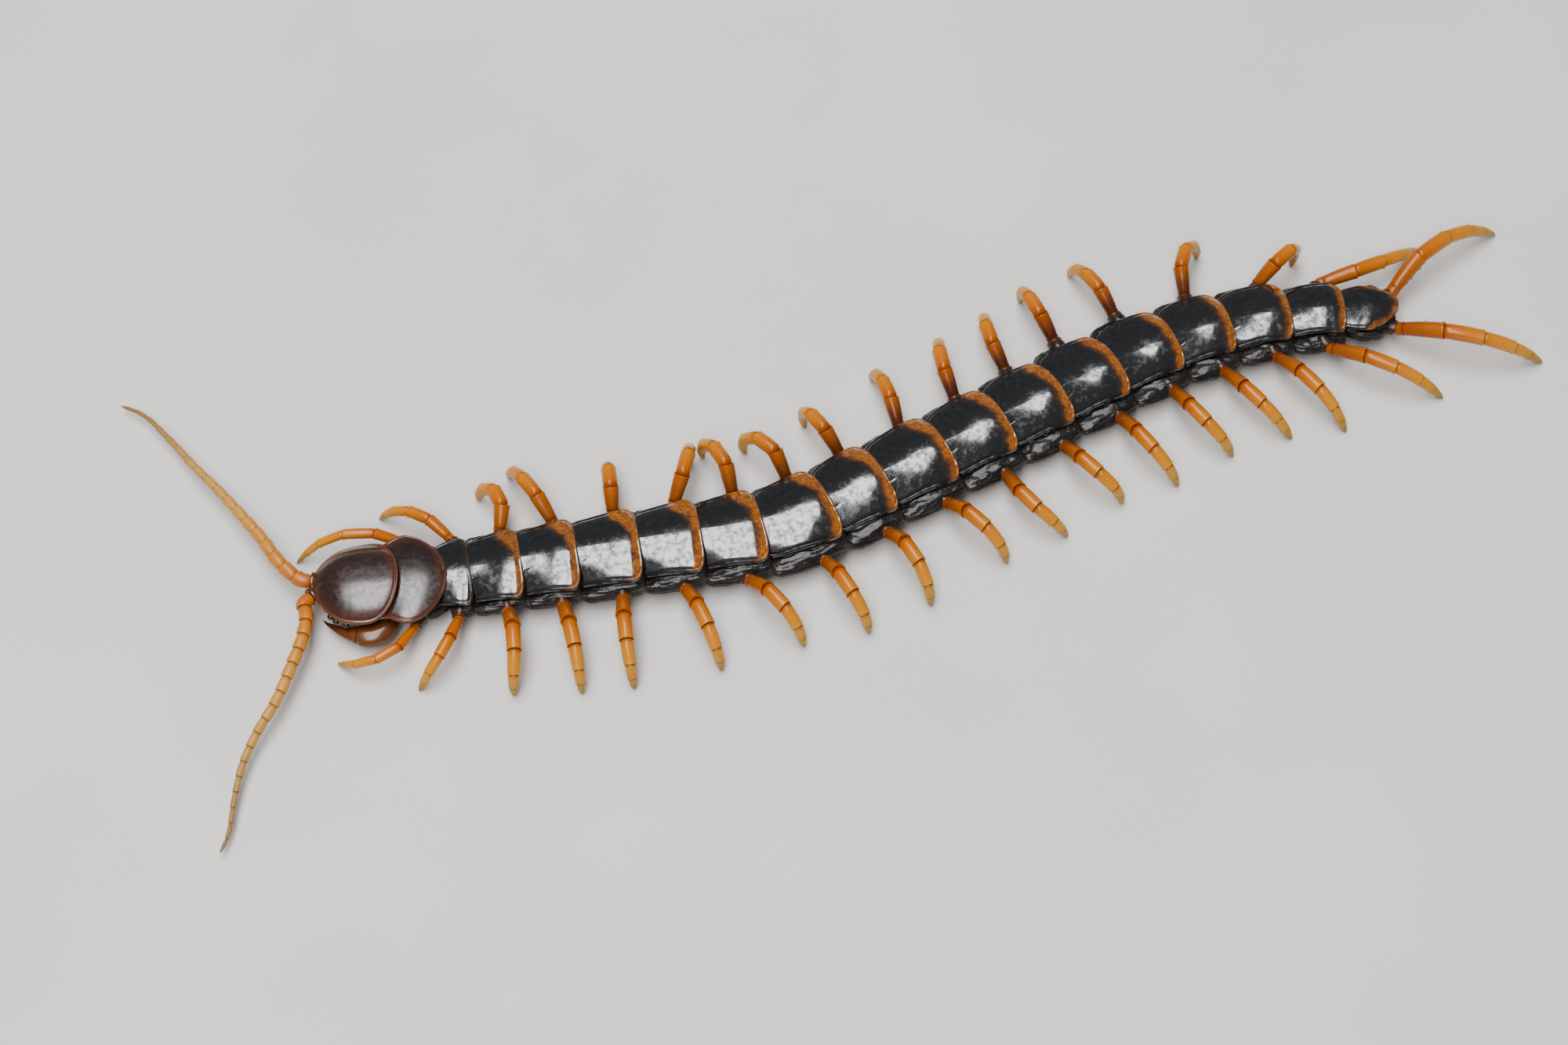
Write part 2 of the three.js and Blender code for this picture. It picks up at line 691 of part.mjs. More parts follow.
for (let i = 0; i < SEGMENTS; i++) {
  const material = i === 0 ? MATERIALS.frontPlate : MATERIALS.trunkShell;
  addPart(numbered('segment', i), segmentGeometry(i), material);
  addPart(numbered('leg_left', i), legGeometry(i, LEFT_LEGS), MATERIALS.leg);
  addPart(numbered('leg_right', i), legGeometry(i, RIGHT_LEGS), MATERIALS.leg);
}

export default centipede;
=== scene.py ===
"""Looks of the giant centipede: detailed plates, skin, legs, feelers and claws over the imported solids.

Lengths are millimetres until a mesh is made. A place on the body is a station along its path,
a distance to the animal's right and a height.
"""

import math

import bpy
import numpy as np
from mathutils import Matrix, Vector, noise


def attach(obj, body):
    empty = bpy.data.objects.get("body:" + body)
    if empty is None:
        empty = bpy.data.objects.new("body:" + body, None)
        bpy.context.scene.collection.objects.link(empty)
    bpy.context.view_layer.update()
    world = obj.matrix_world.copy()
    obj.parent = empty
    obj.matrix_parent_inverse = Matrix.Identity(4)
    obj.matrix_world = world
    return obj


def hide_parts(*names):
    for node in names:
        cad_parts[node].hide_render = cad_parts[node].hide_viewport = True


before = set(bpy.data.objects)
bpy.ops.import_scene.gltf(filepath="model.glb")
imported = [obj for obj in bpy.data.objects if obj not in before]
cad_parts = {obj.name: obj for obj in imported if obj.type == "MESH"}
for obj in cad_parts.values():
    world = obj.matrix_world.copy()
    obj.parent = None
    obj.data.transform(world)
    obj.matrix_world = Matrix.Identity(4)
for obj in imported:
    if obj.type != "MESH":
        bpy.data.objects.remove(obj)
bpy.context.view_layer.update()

MM = 0.001

# Path of the body over the floor, as in the solids
FRONT = (-91.0, -15.5)
FRONT_HEADING = 5
BENDS = [(10, 16, 4.5), (69.5, 26, 19.5), (146.5, 54, -25.5)]
PATH_STEP = 0.5
PATH_LENGTH = 212
GAP = 0.3

# Head
HEAD_LENGTH = 15.0
HEAD_HALF_WIDTH = 8
HEAD_REAR_BOW = 2.6
HEAD_RIM = 5.6
HEAD_CROWN = 9.2
HEAD_TILT = 0.045
HEAD_SHARES = [
    (0, 0.4, 0.2), (1.0, 0.56, 0.46), (2.2, 0.7, 0.68), (4.0, 0.86, 0.87),
    (7.0, 0.97, 0.98), (10.5, 1, 1), (13.5, 0.99, 0.98), (15.0, 0.96, 0.92),
]
EYES_PER_SIDE = 4
EYE_RADIUS = 0.5
FIRST_EYE_STATION = 3.0
EYE_STEP = 0.85
# Distance of the first eye from the middle: the right group lies deeper under the plate's margin
FIRST_EYE_SIDE = {-1: 5.9, 1: 5.1}
# Rings of an eye's rim: step out from the eye's middle, radius
EYE_RIM = [(-0.25, 0.5), (-0.02, 0.62), (0.08, 0.6), (0.1, 0.53), (0.0, 0.45)]

# Trunk
SEGMENT_LENGTHS = [
    7.9, 3.9, 9.0, 9.8, 10.9, 10.8, 10.9, 12.5, 11.0,
    12.6, 12.1, 12.0, 11.9, 11.9, 10.9, 11.4, 10.1, 10.3,
]
PLATE_HALF_WIDTHS = [
    8.7, 6.7, 6.9, 7.1, 7.3, 7.3, 7.3, 7.4, 7.2,
    7.0, 6.9, 6.7, 6.4, 6.1, 5.9, 5.6, 5.2, 4.8,
]
SEGMENTS = len(SEGMENT_LENGTHS)
FIRST_REAR_BOW = 3.6
PLATE_BOW = 0.2
TAIL_BOW = 3.5
BELLY = 1.8
CROWN_BASE, CROWN_PER_HALF_WIDTH = 4.5, 0.71
RIM_BASE, RIM_PER_HALF_WIDTH = 4.4, 0.4
CORNER_DIP = 1.6
CORNER_DIP_LENGTH = 0.65
REAR_FALL = 0.34
REAR_FALL_START = 0.78
SWELL = 0.16
SWELL_MIDDLE, SWELL_WIDTH = 0.72, 0.2
# A plate this long has the full droop at its front and rear
FULL_LENGTH = 11.5
# How much lower the back is at each edge of the neck plates
EDGE_SINKS = [0, 1.62, 1.4, 0.75, 0.35, 0.12] + [0] * 13
# The first plate stands as high as a plate of this half width
FIRST_PLATE_HEIGHT_WIDTH = 5.3
FIRST_TUCK = 1.6
TUCK = 0.9
REAR_LIP = 0.22
SIDE_BULGES = [0.8, 1, 1, 1, 1.1, 1.3, 1.6, 2, 2.3, 2.4, 2.5, 2.7, 2.8, 2.8, 2.8, 2.6, 2.4, 1.5]
RIGHT_WIDENINGS = [0, 0, 0, 0, 0, 0, 0, 0, 0.3, 0.4, 0.5, 0.9, 1.5, 1.6, 1.1, 0.8, 0, 0]
BACK_ROUNDNESS = 2.2
HEAD_ROUNDNESS = 2.9
# Orange bands: width, how much wider on the far side, and how strong
BAND_WIDTHS = [0, 0.2, 1.3, 1.5, 1.6, 1.7, 1.7, 1.7, 1.8, 1.8, 1.8, 1.8, 1.8, 1.7, 1.7, 1.5, 1.2, 0.9]
FAR_FLARE = [0, 0, 1.9, 1.7, 1.8, 1.8, 1.7, 1.5, 1.4, 1.3, 1.1, 1.0, 0.9, 0.8, 0.6, 0.4, 0.3, 0]
NEAR_FLARE = 0.35
BAND_TONES = [0.5, 0.3, 0.85, 0.9] + [1] * 11 + [0.95, 0.85, 0.85]
# Two shallow lengthwise lines on the back: share of the half width, width, depth
SUTURE_SIDE, SUTURE_WIDTH, SUTURE_DEPTH = 0.36, 0.12, 0.09
# Rounded ribs along the edges of plates: distance from the edge, width, height
MARGIN_BEAD = (0.2, 0.17, 0.22)
MARGIN_GROOVE = (0.58, 0.15, 0.17)
REAR_BEAD = (0.18, 0.16, 0.12)
HEAD_BEAD = (0.16, 0.14, 0.1)
HEAD_GROOVE = (0.5, 0.15, 0.07)
# The margins on the right of the body are rolled only this much
FLAT_MARGIN = 0.35
# Share of the plate's length, share of its width, drop of its top, bulge of the side below
PLATE_SHARES = [
    (0, 0.84, 0.6, -0.15), (0.18, 0.87, 0.52, 0.8), (0.4, 0.91, 0.38, 1),
    (0.7, 0.97, 0.12, 0.4), (0.94, 1, 0, 0.1), (1, 0.96, 0.1, -0.05),
]
FIRST_SHARES = [
    (0, 0.86, 0.1, -4.8), (0.3, 0.96, 0, -3.4), (0.6, 1, 0.2, -2),
    (0.85, 0.95, 0.6, -2.5), (1, 0.84, 0.9, -3),
]
TAIL_SHARES = [
    (0, 0.84, 0.6, -0.4), (0.3, 0.95, 0.4, 0.6), (0.6, 1, 0.2, 0.6),
    (0.85, 0.9, 0.3, -0.5), (1, 0.76, 0.6, -1.5),
]

# Poison claws
CLAW_HEIGHT = 2.78
CLAW_FLATNESS = 0.75
CLAW_ROOT_SIDE = 4.6
RIGHT_CLAW_REACH = 0.7
# Station, distance from the middle and radius from root to tip
CLAW_SHAPE = [
    (12.9, 4.6, 1.7), (12.8, 6.0, 1.8), (12.1, 7.4, 2.0), (10.9, 8.3, 2.1),
    (9.3, 8.6, 2.05), (7.7, 8.4, 1.85), (7.2, 8.3, 1.5), (5.2, 7.6, 1.15),
    (3.3, 6.5, 0.8), (2.1, 5.6, 0.5), (1.3, 4.7, 0.2),
]
CLAW_SAMPLES = 181
CLAW_SIDES = 40
CLAW_JOINT = 7.3
FANG_RADII = (1.75, 0.05)
FANG_DROP = 0.25

# Feelers
FEELER_BEADS = 18
FEELER_ROOT_RADIUS = 1.4
FEELER_TIP_RADIUS = 0.3
# The drawn feeler ends this share along the solid's path
FEELER_REACH = 0.994
# Rings of one bead: share of its length, share of its radius
BEAD_PROFILE = [
    (-0.14, 0.5), (-0.05, 0.66), (0.03, 0.76), (0.1, 0.83), (0.25, 0.9), (0.45, 0.94),
    (0.65, 0.97), (0.8, 1.0), (0.88, 1.0), (0.94, 0.96), (0.97, 0.86), (0.96, 0.6),
]
FEELER_SOCKET = [(-1.2, 1.3), (-0.5, 1.62), (-0.1, 1.7), (0.08, 1.62), (0.1, 1.45), (-0.1, 1.3)]
# Distance ahead of the head's front, distance to the right, height
LEFT_FEELER = [
    (0.3, -1.6, 5.3), (1.6, -2.9, 5.5), (1.2, -5.5, 5.6), (1.9, -9.5, 5.6),
    (3.8, -14.4, 5.2), (6.6, -20.7, 4.6), (9.9, -26.1, 4.0), (12.4, -31.5, 3.4),
    (13.9, -37.6, 2.7), (15.0, -43.8, 2.1), (16.6, -47.2, 1.7),
]
RIGHT_FEELER = [
    (0.3, 1.6, 5.3), (2.2, 2.0, 5.5), (6.0, 6.0, 5.6), (8.7, 10.6, 5.4),
    (12.3, 15.9, 5.0), (16.5, 21.8, 4.4), (20.8, 27.4, 3.7), (25.8, 34.4, 3.0),
    (30.5, 40.2, 2.3), (35.0, 43.1, 1.7),
]

# Legs
LEG_PIECES = [1.0, 5.0, 4.7, 4.1, 2.6, 1.8, 1.1]
LEG_BEND_REACHED = np.array([0, 0.12, 0.4, 0.65, 0.85, 0.95, 1])
LEG_ROOT_HEIGHT = 4.3
FIRST_LEG_ROOT_HEIGHT = 3.7
FIRST_LEG_ROOT_SIDE = 7.6
LEG_GIRTH_SCALES = [0.7, 0.8] + [1] * 15 + [1.1]
# Radius of each leg piece at its root and at its end
LEG_RADII = [
    (1.1, 1.15), (1.15, 1.46), (1.3, 1.34), (1.17, 1.14), (1.0, 0.92), (0.85, 0.58), (0.54, 0.05),
]
LEG_ARCHES = (0, 0.012, 0.02, 0.02, 0.012, 0.02)
# Spines under the ends of three leg pieces: piece, length
LEG_SPINES = ((2, 0.5), (3, 0.45), (4, 0.4))
THIGH_SPINES = ((0.25, 0.1), (0.45, -0.5), (0.5, 0.65), (0.72, 0.05), (0.78, -0.7), (0.93, 0.4))
STUB_REACH = 0.5
# Rings of a leg's socket: step out from its mouth, radius, how brown
SOCKET = [
    (-2.4, 1.5, 0), (-1.7, 1.62, 0), (-1.1, 1.62, 0.2), (-0.6, 1.52, 0.5), (-0.3, 1.46, 0.8),
    (-0.12, 1.5, 1), (0.05, 1.47, 1), (0.12, 1.33, 1), (0.02, 1.12, 1), (-0.15, 0.8, 1),
]
STUB_SHARE_OF_SWEEP = 0.35
LAST_STUB_STATION = 204.3
LAST_STUB_SIDE = 3.6
LAST_STUB_SWEEP = 60
# Where a leg leaves its segment, how far its foot stands out, the turn of its way towards the tail in
# degrees, how much that turn grows along it, its length against the mean, and how dark its root is
LEFT_LEGS = {
    "side": -1,
    "along": [0.65] * SEGMENTS,
    "reach": [
        17.5, 13.8, 14, 15.3, 15.6, 15, 14.2, 14, 14.2,
        14.2, 15.8, 14.4, 15.8, 15.8, 17, 18, 22.3, 27.5,
    ],
    "sweep": [-77.5, -41, -7, 3.5, -1, 15.5, 30, 10, 1, 19, 21, 23, 13.5, 19.5, 27.5, 31, 63.5, 77],
    "curl": [-109, -45, -34, -8, 12, 0, -3, 14, -15, 10, 70, 56, 36, 52, 37, 10, 17, 22],
    "length": [0.94, 0.83, 1, 1, 1, 1, 0.98, 1, 1, 0.98, 0.97, 0.97, 1, 1, 1, 1.06, 1.23, 1.5],
    "root_tone": [
        0.1, 0.15, 0.35, 0.35, 0.35, 0.35, 0.45, 0.5, 0.55,
        0.6, 0.65, 0.65, 0.65, 0.65, 0.6, 0.6, 0.5, 0.45,
    ],
}
RIGHT_LEGS = {
    "side": 1,
    "along": [0.7] * 10 + [0.66, 0.58, 0.5, 0.52, 0.62, 0.7, 0.7, 0.7],
    "reach": [
        21, 15.2, 11.4, 14.6, 8.6, 10.8, 11.6, 10.7, 10,
        13.2, 13.3, 13, 12.5, 13.5, 12.8, 10.5, 23.3, 28,
    ],
    "sweep": [-88, -56.5, -29, -26.5, 1, 17, -23, -28, -5, 8.5, 23, 20, 7, -6, 45, 51, 67, 57.7],
    "curl": [-38, -38, -115, 0, -8, -42, -50, -55, 20, -8, 45, 55, 34, 0, 92, -38, -33, 35],
    "length": [
        1.17, 0.88, 0.8, 0.96, 0.83, 0.98, 0.95, 0.94, 0.9,
        0.88, 0.92, 0.9, 0.94, 0.9, 0.93, 0.95, 1.23, 1.5,
    ],
    "root_tone": [0.1, 0.15, 0.4, 0.5, 0.5, 0.5, 0.7, 0.8, 0.85, 0.95, 1, 1, 1, 1, 0.9, 0.4, 0.3, 0.35],
}

# Side skin
SKIN_FIRST, SKIN_LAST = 17.5, 204.5
SKIN_SIDE_HEIGHT = 4.5
SKIN_SAMPLES = 61
SKIN_STEP = 0.36
FOLD_COUNT = 15
FOLD_DEPTH = 0.09
WAVE_DEPTH = 0.1
# How far the soft side swells along a segment, from its front to its rear, in the last column
SKIN_SWELL = [
    (0, 0, 0, 0.72), (0.12, 0, 0, 0.88), (0.35, 0, 0, 1), (0.55, 0, 0, 0.97),
    (0.72, 0, 0, 0.9), (0.88, 0, 0, 0.82), (0.96, 0, 0, 0.75), (1, 0, 0, 0.7),
]

# Camera and lights, in metres and watts
CAMERA_PLACE = (-0.0095, -0.2694, 0.4682)
CAMERA_TILT = math.radians(30)
SOFTBOX_PLACE, SOFTBOX_SIZE, SOFTBOX_POWER = (-0.175, -0.275, 1.2), (0.57, 1.75), 22.1
FILL_PLACE, FILL_SIZE, FILL_POWER = (-0.3, -1.3, 0.9), (1.2, 0.8), 0.8
FLOOR_REACH = 4.0


def smooth_step(t):
    t = np.clip(t, 0, 1)
    return t * t * (3 - 2 * t)


def mix(a, b, t):
    return a + (b - a) * t


def heading_at(station):
    heading = FRONT_HEADING + 0 * np.asarray(station, float)
    for start, over, turn in BENDS:
        heading = heading + turn * smooth_step((station - start) / over)
    return np.radians(heading)


def trace_path():
    stations = np.arange(0, PATH_LENGTH + PATH_STEP, PATH_STEP)
    headings = heading_at(stations[:-1] + PATH_STEP / 2)
    x = FRONT[0] + np.concatenate([[0], np.cumsum(PATH_STEP * np.cos(headings))])
    y = FRONT[1] + np.concatenate([[0], np.cumsum(PATH_STEP * np.sin(headings))])
    return stations, x, y


PATH = trace_path()


def place(station, right, z):
    """Points at stations along the body, at distances to its right and at heights."""
    station, right, z = np.broadcast_arrays(*(np.asarray(v, float) for v in (station, right, z)))
    heading = heading_at(station)
    before = np.minimum(0, station)
    x = np.interp(station, PATH[0], PATH[1]) + before * np.cos(heading)
    y = np.interp(station, PATH[0], PATH[2]) + before * np.sin(heading)
    return np.stack([x - right * np.sin(heading), y + right * np.cos(heading), z], -1)


def sideways(station, side, sweep):
    """A horizontal direction: straight sideways turned by the sweep towards the tail."""
    heading = heading_at(station)
    along, across = math.sin(math.radians(sweep)), side * math.cos(math.radians(sweep))
    return np.array([
        along * math.cos(heading) - across * math.sin(heading),
        along * math.sin(heading) + across * math.cos(heading),
        0,
    ])


def unit(v):
    return v / np.linalg.norm(v)


def ridge(x, middle, width, height=1.0):
    """A rounded ridge round a middle."""
    return height * np.exp(-((x - middle) / width) ** 2)


def cross_axes(direction):
    """The level axis and the upright axis that are square to a direction."""
    level = unit(np.array([-direction[1], direction[0], 0.0]))
    return level, np.cross(direction, level)


def noise_at(points, size, seed=0.0):
    """Smooth noise, about -1 to 1, at points in millimetres, with blobs of the given size."""
    flat = np.asarray(points, float).reshape(-1, 3) / size + seed
    values = np.array([noise.noise(Vector(p)) for p in flat.tolist()])
    return values.reshape(np.asarray(points).shape[:-1])


class Form:
    """Closed surfaces gathered into one mesh, with named values at their points."""

    def __init__(self):
        self.points, self.faces, self.values, self.count = [], [], {}, 0

    def loft(self, rings, **values):
        """Adds a closed surface through rings of points, from pole to pole."""
        rings = np.asarray(rings, float)
        rows, sides = rings.shape[:2]
        ends = np.stack([rings[0].mean(0), rings[-1].mean(0)])
        points = np.concatenate([rings.reshape(-1, 3), ends])
        r, i = np.meshgrid(np.arange(rows - 1), np.arange(sides), indexing="ij")
        a = (r * sides + i).ravel()
        b = (r * sides + (i + 1) % sides).ravel()
        quads = np.stack([a, b, b + sides, a + sides], -1)
        k = np.arange(sides)
        n = (k + 1) % sides
        first = np.full(sides, rows * sides)
        last = (rows - 1) * sides
        caps = np.concatenate([
            np.stack([first, n, k], -1),
            np.stack([first + 1, last + k, last + n], -1),
        ])
        volume = 0
        for corners in (quads[:, [0, 1, 2]], quads[:, [0, 2, 3]], caps):
            p, q, s = (points[corners[:, j]] for j in range(3))
            volume += np.einsum("ij,ij->", p, np.cross(q, s))
        if volume < 0:
            quads, caps = quads[:, ::-1], caps[:, ::-1]
        self.points.append(points)
        self.faces += (quads + self.count).tolist() + (caps + self.count).tolist()
        for name, value in values.items():
            grid = np.broadcast_to(np.asarray(value, float), (rows, sides))
            spread = np.concatenate([grid.ravel(), [grid[0].mean(), grid[-1].mean()]])
            self.values.setdefault(name, []).append((self.count, spread))
        self.count += len(points)

    def piece(self, name, material, slot, replaces, crease=45):
        """Makes the mesh, which rides the one body and stands in for solids."""
        mesh = bpy.data.meshes.new(name)
        mesh.from_pydata((np.concatenate(self.points) * MM).tolist(), [], self.faces)
        for key, parts in self.values.items():
            column = np.zeros(self.count, np.float32)
            for start, spread in parts:
                column[start:start + len(spread)] = spread
            mesh.attributes.new(key, "FLOAT", "POINT").data.foreach_set("value", column)
        mesh.shade_smooth()
        mesh.set_sharp_from_angle(angle=math.radians(crease))
        mesh.materials.append(material)
        piece = bpy.data.objects.new(name, mesh)
        bpy.context.scene.collection.objects.link(piece)
        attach(piece, "root")
        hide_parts(*replaces)


def numbered(name, i):
    return f"{name}_{i + 1:02d}"


class Paint:
    """A procedural material built node by node on one shader."""

    def __init__(self, name, **sockets):
        self.material = bpy.data.materials.new(name)
        self.material.use_nodes = True
        self.tree = self.material.node_tree
        self.shader = self.tree.nodes["Principled BSDF"]
        for key, value in sockets.items():
            self.shader.inputs[key.replace("_", " ")].default_value = value

    def node(self, kind, **settings):
        made = self.tree.nodes.new(kind)
        for key, value in settings.items():
            setattr(made, key, value)
        return made

    def join(self, source, target):
        if isinstance(source, bpy.types.NodeSocket):
            self.tree.links.new(source, target)
        else:
            target.default_value = source

    def value(self, name):
        return self.node("ShaderNodeAttribute", attribute_name=name).outputs["Fac"]

    def noise(self, size, detail=2.0, stretch=(1, 1, 1), roughness=0.5, seed=0.0):
        """Noise between 0 and 1 with blobs of about the given size in millimetres."""
        coordinates = self.node("ShaderNodeTexCoord").outputs["Object"]
        mapping = self.node("ShaderNodeMapping")
        mapping.inputs["Location"].default_value = (seed, seed, seed)
        mapping.inputs["Scale"].default_value = stretch
        self.join(coordinates, mapping.inputs["Vector"])
        texture = self.node("ShaderNodeTexNoise")
        texture.inputs["Scale"].default_value = 1 / (size * MM)
        texture.inputs["Detail"].default_value = detail
        texture.inputs["Roughness"].default_value = roughness
        self.join(mapping.outputs["Vector"], texture.inputs["Vector"])
        return texture.outputs["Fac"]

    def cells(self, size):
        coordinates = self.node("ShaderNodeTexCoord").outputs["Object"]
        texture = self.node("ShaderNodeTexVoronoi")
        texture.inputs["Scale"].default_value = 1 / (size * MM)
        self.join(coordinates, texture.inputs["Vector"])
        return texture.outputs["Distance"]

    def math(self, operation, a, b, c=0.0):
        made = self.node("ShaderNodeMath", operation=operation)
        for socket, source in zip(made.inputs, (a, b, c)):
            self.join(source, socket)
        return made.outputs[0]

    def range(self, source, low, high, to_low=0.0, to_high=1.0):
        """A smooth rise of the source from low to high; a name stands for the value at the points."""
        source = self.value(source) if isinstance(source, str) else source
        made = self.node("ShaderNodeMapRange", interpolation_type="SMOOTHSTEP")
        for socket, value in zip(made.inputs, (source, low, high, to_low, to_high)):
            self.join(value, socket)
        return made.outputs["Result"]

    def blend(self, share, a, b):
        made = self.node("ShaderNodeMix", data_type="RGBA")
        self.join(share, made.inputs[0])
        self.join(a if isinstance(a, bpy.types.NodeSocket) else (*a, 1), made.inputs[6])
        self.join(b if isinstance(b, bpy.types.NodeSocket) else (*b, 1), made.inputs[7])
        return made.outputs[2]

    def tint(self, colour, share, strength, over):
        """The colour with another one over it where the share is high."""
        return self.blend(self.math("MULTIPLY", share, strength), colour, over)

    def grain(self, fine, low, high):
        """Roughness that follows a fine noise."""
        return self.range(fine, 0.3, 0.7, low, high)

    def blend_value(self, share, a, b):
        made = self.node("ShaderNodeMix", data_type="FLOAT")
        for k, source in ((0, share), (2, a), (3, b)):
            self.join(source, made.inputs[k])
        return made.outputs[0]

    def ramp(self, source, stops):
        made = self.node("ShaderNodeValToRGB")
        elements = made.color_ramp.elements
        while len(elements) < len(stops):
            elements.new(0.5)
        for element, (position, colour) in zip(elements, stops):
            element.position = position
            element.color = (*colour, 1)
        self.join(source, made.inputs["Fac"])
        return made.outputs["Color"]

    def finish(self, colour, roughness, height, depth, strength):
        """Joins colour, roughness and a bump of the given depth in millimetres to the shader."""
        self.join(colour, self.shader.inputs["Base Color"])
        self.join(roughness, self.shader.inputs["Roughness"])
        bump = self.node("ShaderNodeBump")
        bump.inputs["Strength"].default_value = strength
        bump.inputs["Distance"].default_value = depth * MM
        self.join(height, bump.inputs["Height"])
        self.join(bump.outputs["Normal"], self.shader.inputs["Normal"])
        return self.material


BLACK = (0.0095, 0.0105, 0.0125)
BROWN_BLACK = (0.020, 0.012, 0.009)
BAND = (0.25, 0.078, 0.012)
BAND_PALE = (0.46, 0.17, 0.028)
BAND_DARK = (0.09, 0.033, 0.011)
MAHOGANY = (0.028, 0.0145, 0.0115)
RIM_BROWN = (0.14, 0.048, 0.017)
LEG_ROOT = (0.095, 0.026, 0.014)
LEG_ORANGE = (0.52, 0.155, 0.020)
LEG_YELLOW = (0.60, 0.255, 0.036)
LEG_TIP = (0.36, 0.22, 0.05)
OCHRE = (0.56, 0.29, 0.05)
LIP_BROWN = (0.08, 0.05, 0.035)
# How far red, green and blue light reach into legs and feelers
FLESH_REACH = (1.0, 0.45, 0.16)


def plate_paint():
    """Trunk plate: near-black with an orange-brown band inside its rear edge."""
    paint = Paint("trunk_plate", Coat_IOR=1.75, Coat_Roughness=0.1, IOR=1.75)
    blotch = paint.noise(1.6, 3, seed=3.1)
    fine = paint.noise(0.5, 3, seed=1.7)
    ragged = paint.math("MULTIPLY_ADD", blotch, 1.7, -0.85)
    front = paint.math("ADD", paint.value("band"), ragged)
    inside = paint.range(front, 1.7, -1.4)
    orange = paint.blend(paint.range(fine, 0.35, 0.7), BAND, BAND_PALE)
    orange = paint.tint(orange, paint.range(blotch, 0.5, 0.75), 0.6, BAND_DARK)
    orange = paint.blend(paint.range(inside, 0.35, 0.95), BAND_DARK, orange)
    dark = paint.blend(paint.range(blotch, 0.55, 0.8), BLACK, BROWN_BLACK)
    colour = paint.tint(dark, paint.range(inside, 0.05, 0.75), paint.value("tone"), orange)
    colour = paint.blend(paint.range("rear", 0.05, 0.35), LIP_BROWN, colour)
    mottle = paint.noise(1.0, 5, roughness=0.62, seed=8.8)
    rough = paint.range(mottle, 0.44, 0.68, 0.12, 0.3)
    paint.join(paint.range(mottle, 0.64, 0.4, 0.05, 1.0), paint.shader.inputs["Coat Weight"])
    rough = paint.blend_value(paint.range("edge", 0.35, 0.6), 0.14, rough)
    height = paint.math("ADD", paint.math("MULTIPLY", fine, 0.14), paint.noise(1.4, 3, seed=5.3))
    return paint.finish(colour, rough, height, depth=0.045, strength=0.6)


def head_paint():
    """Head and first plate: mahogany, thinning to orange-brown at the rim."""
    paint = Paint("head_plate", Coat_Weight=0.4, Coat_Roughness=0.2, IOR=1.75)
    broad = paint.noise(3.0, 2, seed=2.2)
    fine = paint.noise(0.42, 3, seed=8.4)
    base = paint.blend(paint.range(broad, 0.35, 0.7), MAHOGANY, (0.040, 0.018, 0.013))
    base = paint.blend(paint.value("tone"), base, (0.016, 0.011, 0.011))
    from_rim = paint.math("ADD", paint.value("edge"), paint.math("MULTIPLY", broad, 1.2))
    colour = paint.tint(base, paint.range(from_rim, 3.2, 0.5), 0.75, (0.12, 0.034, 0.014))
    colour = paint.blend(paint.range("edge", 0.45, 0.1), colour, RIM_BROWN)
    mottle = paint.noise(0.9, 4, roughness=0.65, seed=3.8)
    rough = paint.range(mottle, 0.42, 0.66, 0.24, 0.4)
    height = paint.math("ADD", paint.math("MULTIPLY", fine, 0.08), paint.noise(1.4, 2, seed=6.1))
    return paint.finish(colour, rough, height, depth=0.022, strength=0.45)


def skin_paint():
    """Soft side skin: dark, glossy and wrinkled."""
    paint = Paint("side_skin", Coat_Weight=0.4, Coat_Roughness=0.08, IOR=1.4)
    broad = paint.noise(2.4, 3, seed=4.4)
    fine = paint.noise(0.4, 3, stretch=(0.35, 1, 1.4), seed=9.2)
    colour = paint.blend(paint.range(broad, 0.35, 0.75), (0.012, 0.0115, 0.011), (0.026, 0.022, 0.019))
    colour = paint.blend(paint.value("seam"), colour, (0.040, 0.033, 0.027))
    colour = paint.blend(paint.value("root"), colour, (0.085, 0.030, 0.016))
    height = paint.math("ADD", fine, paint.math("MULTIPLY", paint.cells(0.6), 0.5))
    return paint.finish(colour, paint.grain(fine, 0.26, 0.42), height, depth=0.13, strength=0.8)


def belly_paint():
    """Belly plate: dull brown, darker at its edge."""
    paint = Paint("belly_plate", Coat_Weight=0.2, Coat_Roughness=0.15)
    broad = paint.noise(2.5, 3, seed=7.7)
    fine = paint.noise(0.45, 3, seed=2.8)
    colour = paint.blend(paint.range(broad, 0.3, 0.75), (0.10, 0.075, 0.045), (0.19, 0.12, 0.06))
    colour = paint.blend(paint.range("edge", 0.8, 0.1), colour, (0.07, 0.045, 0.03))
    return paint.finish(colour, paint.grain(fine, 0.24, 0.4), fine, depth=0.03, strength=0.5)


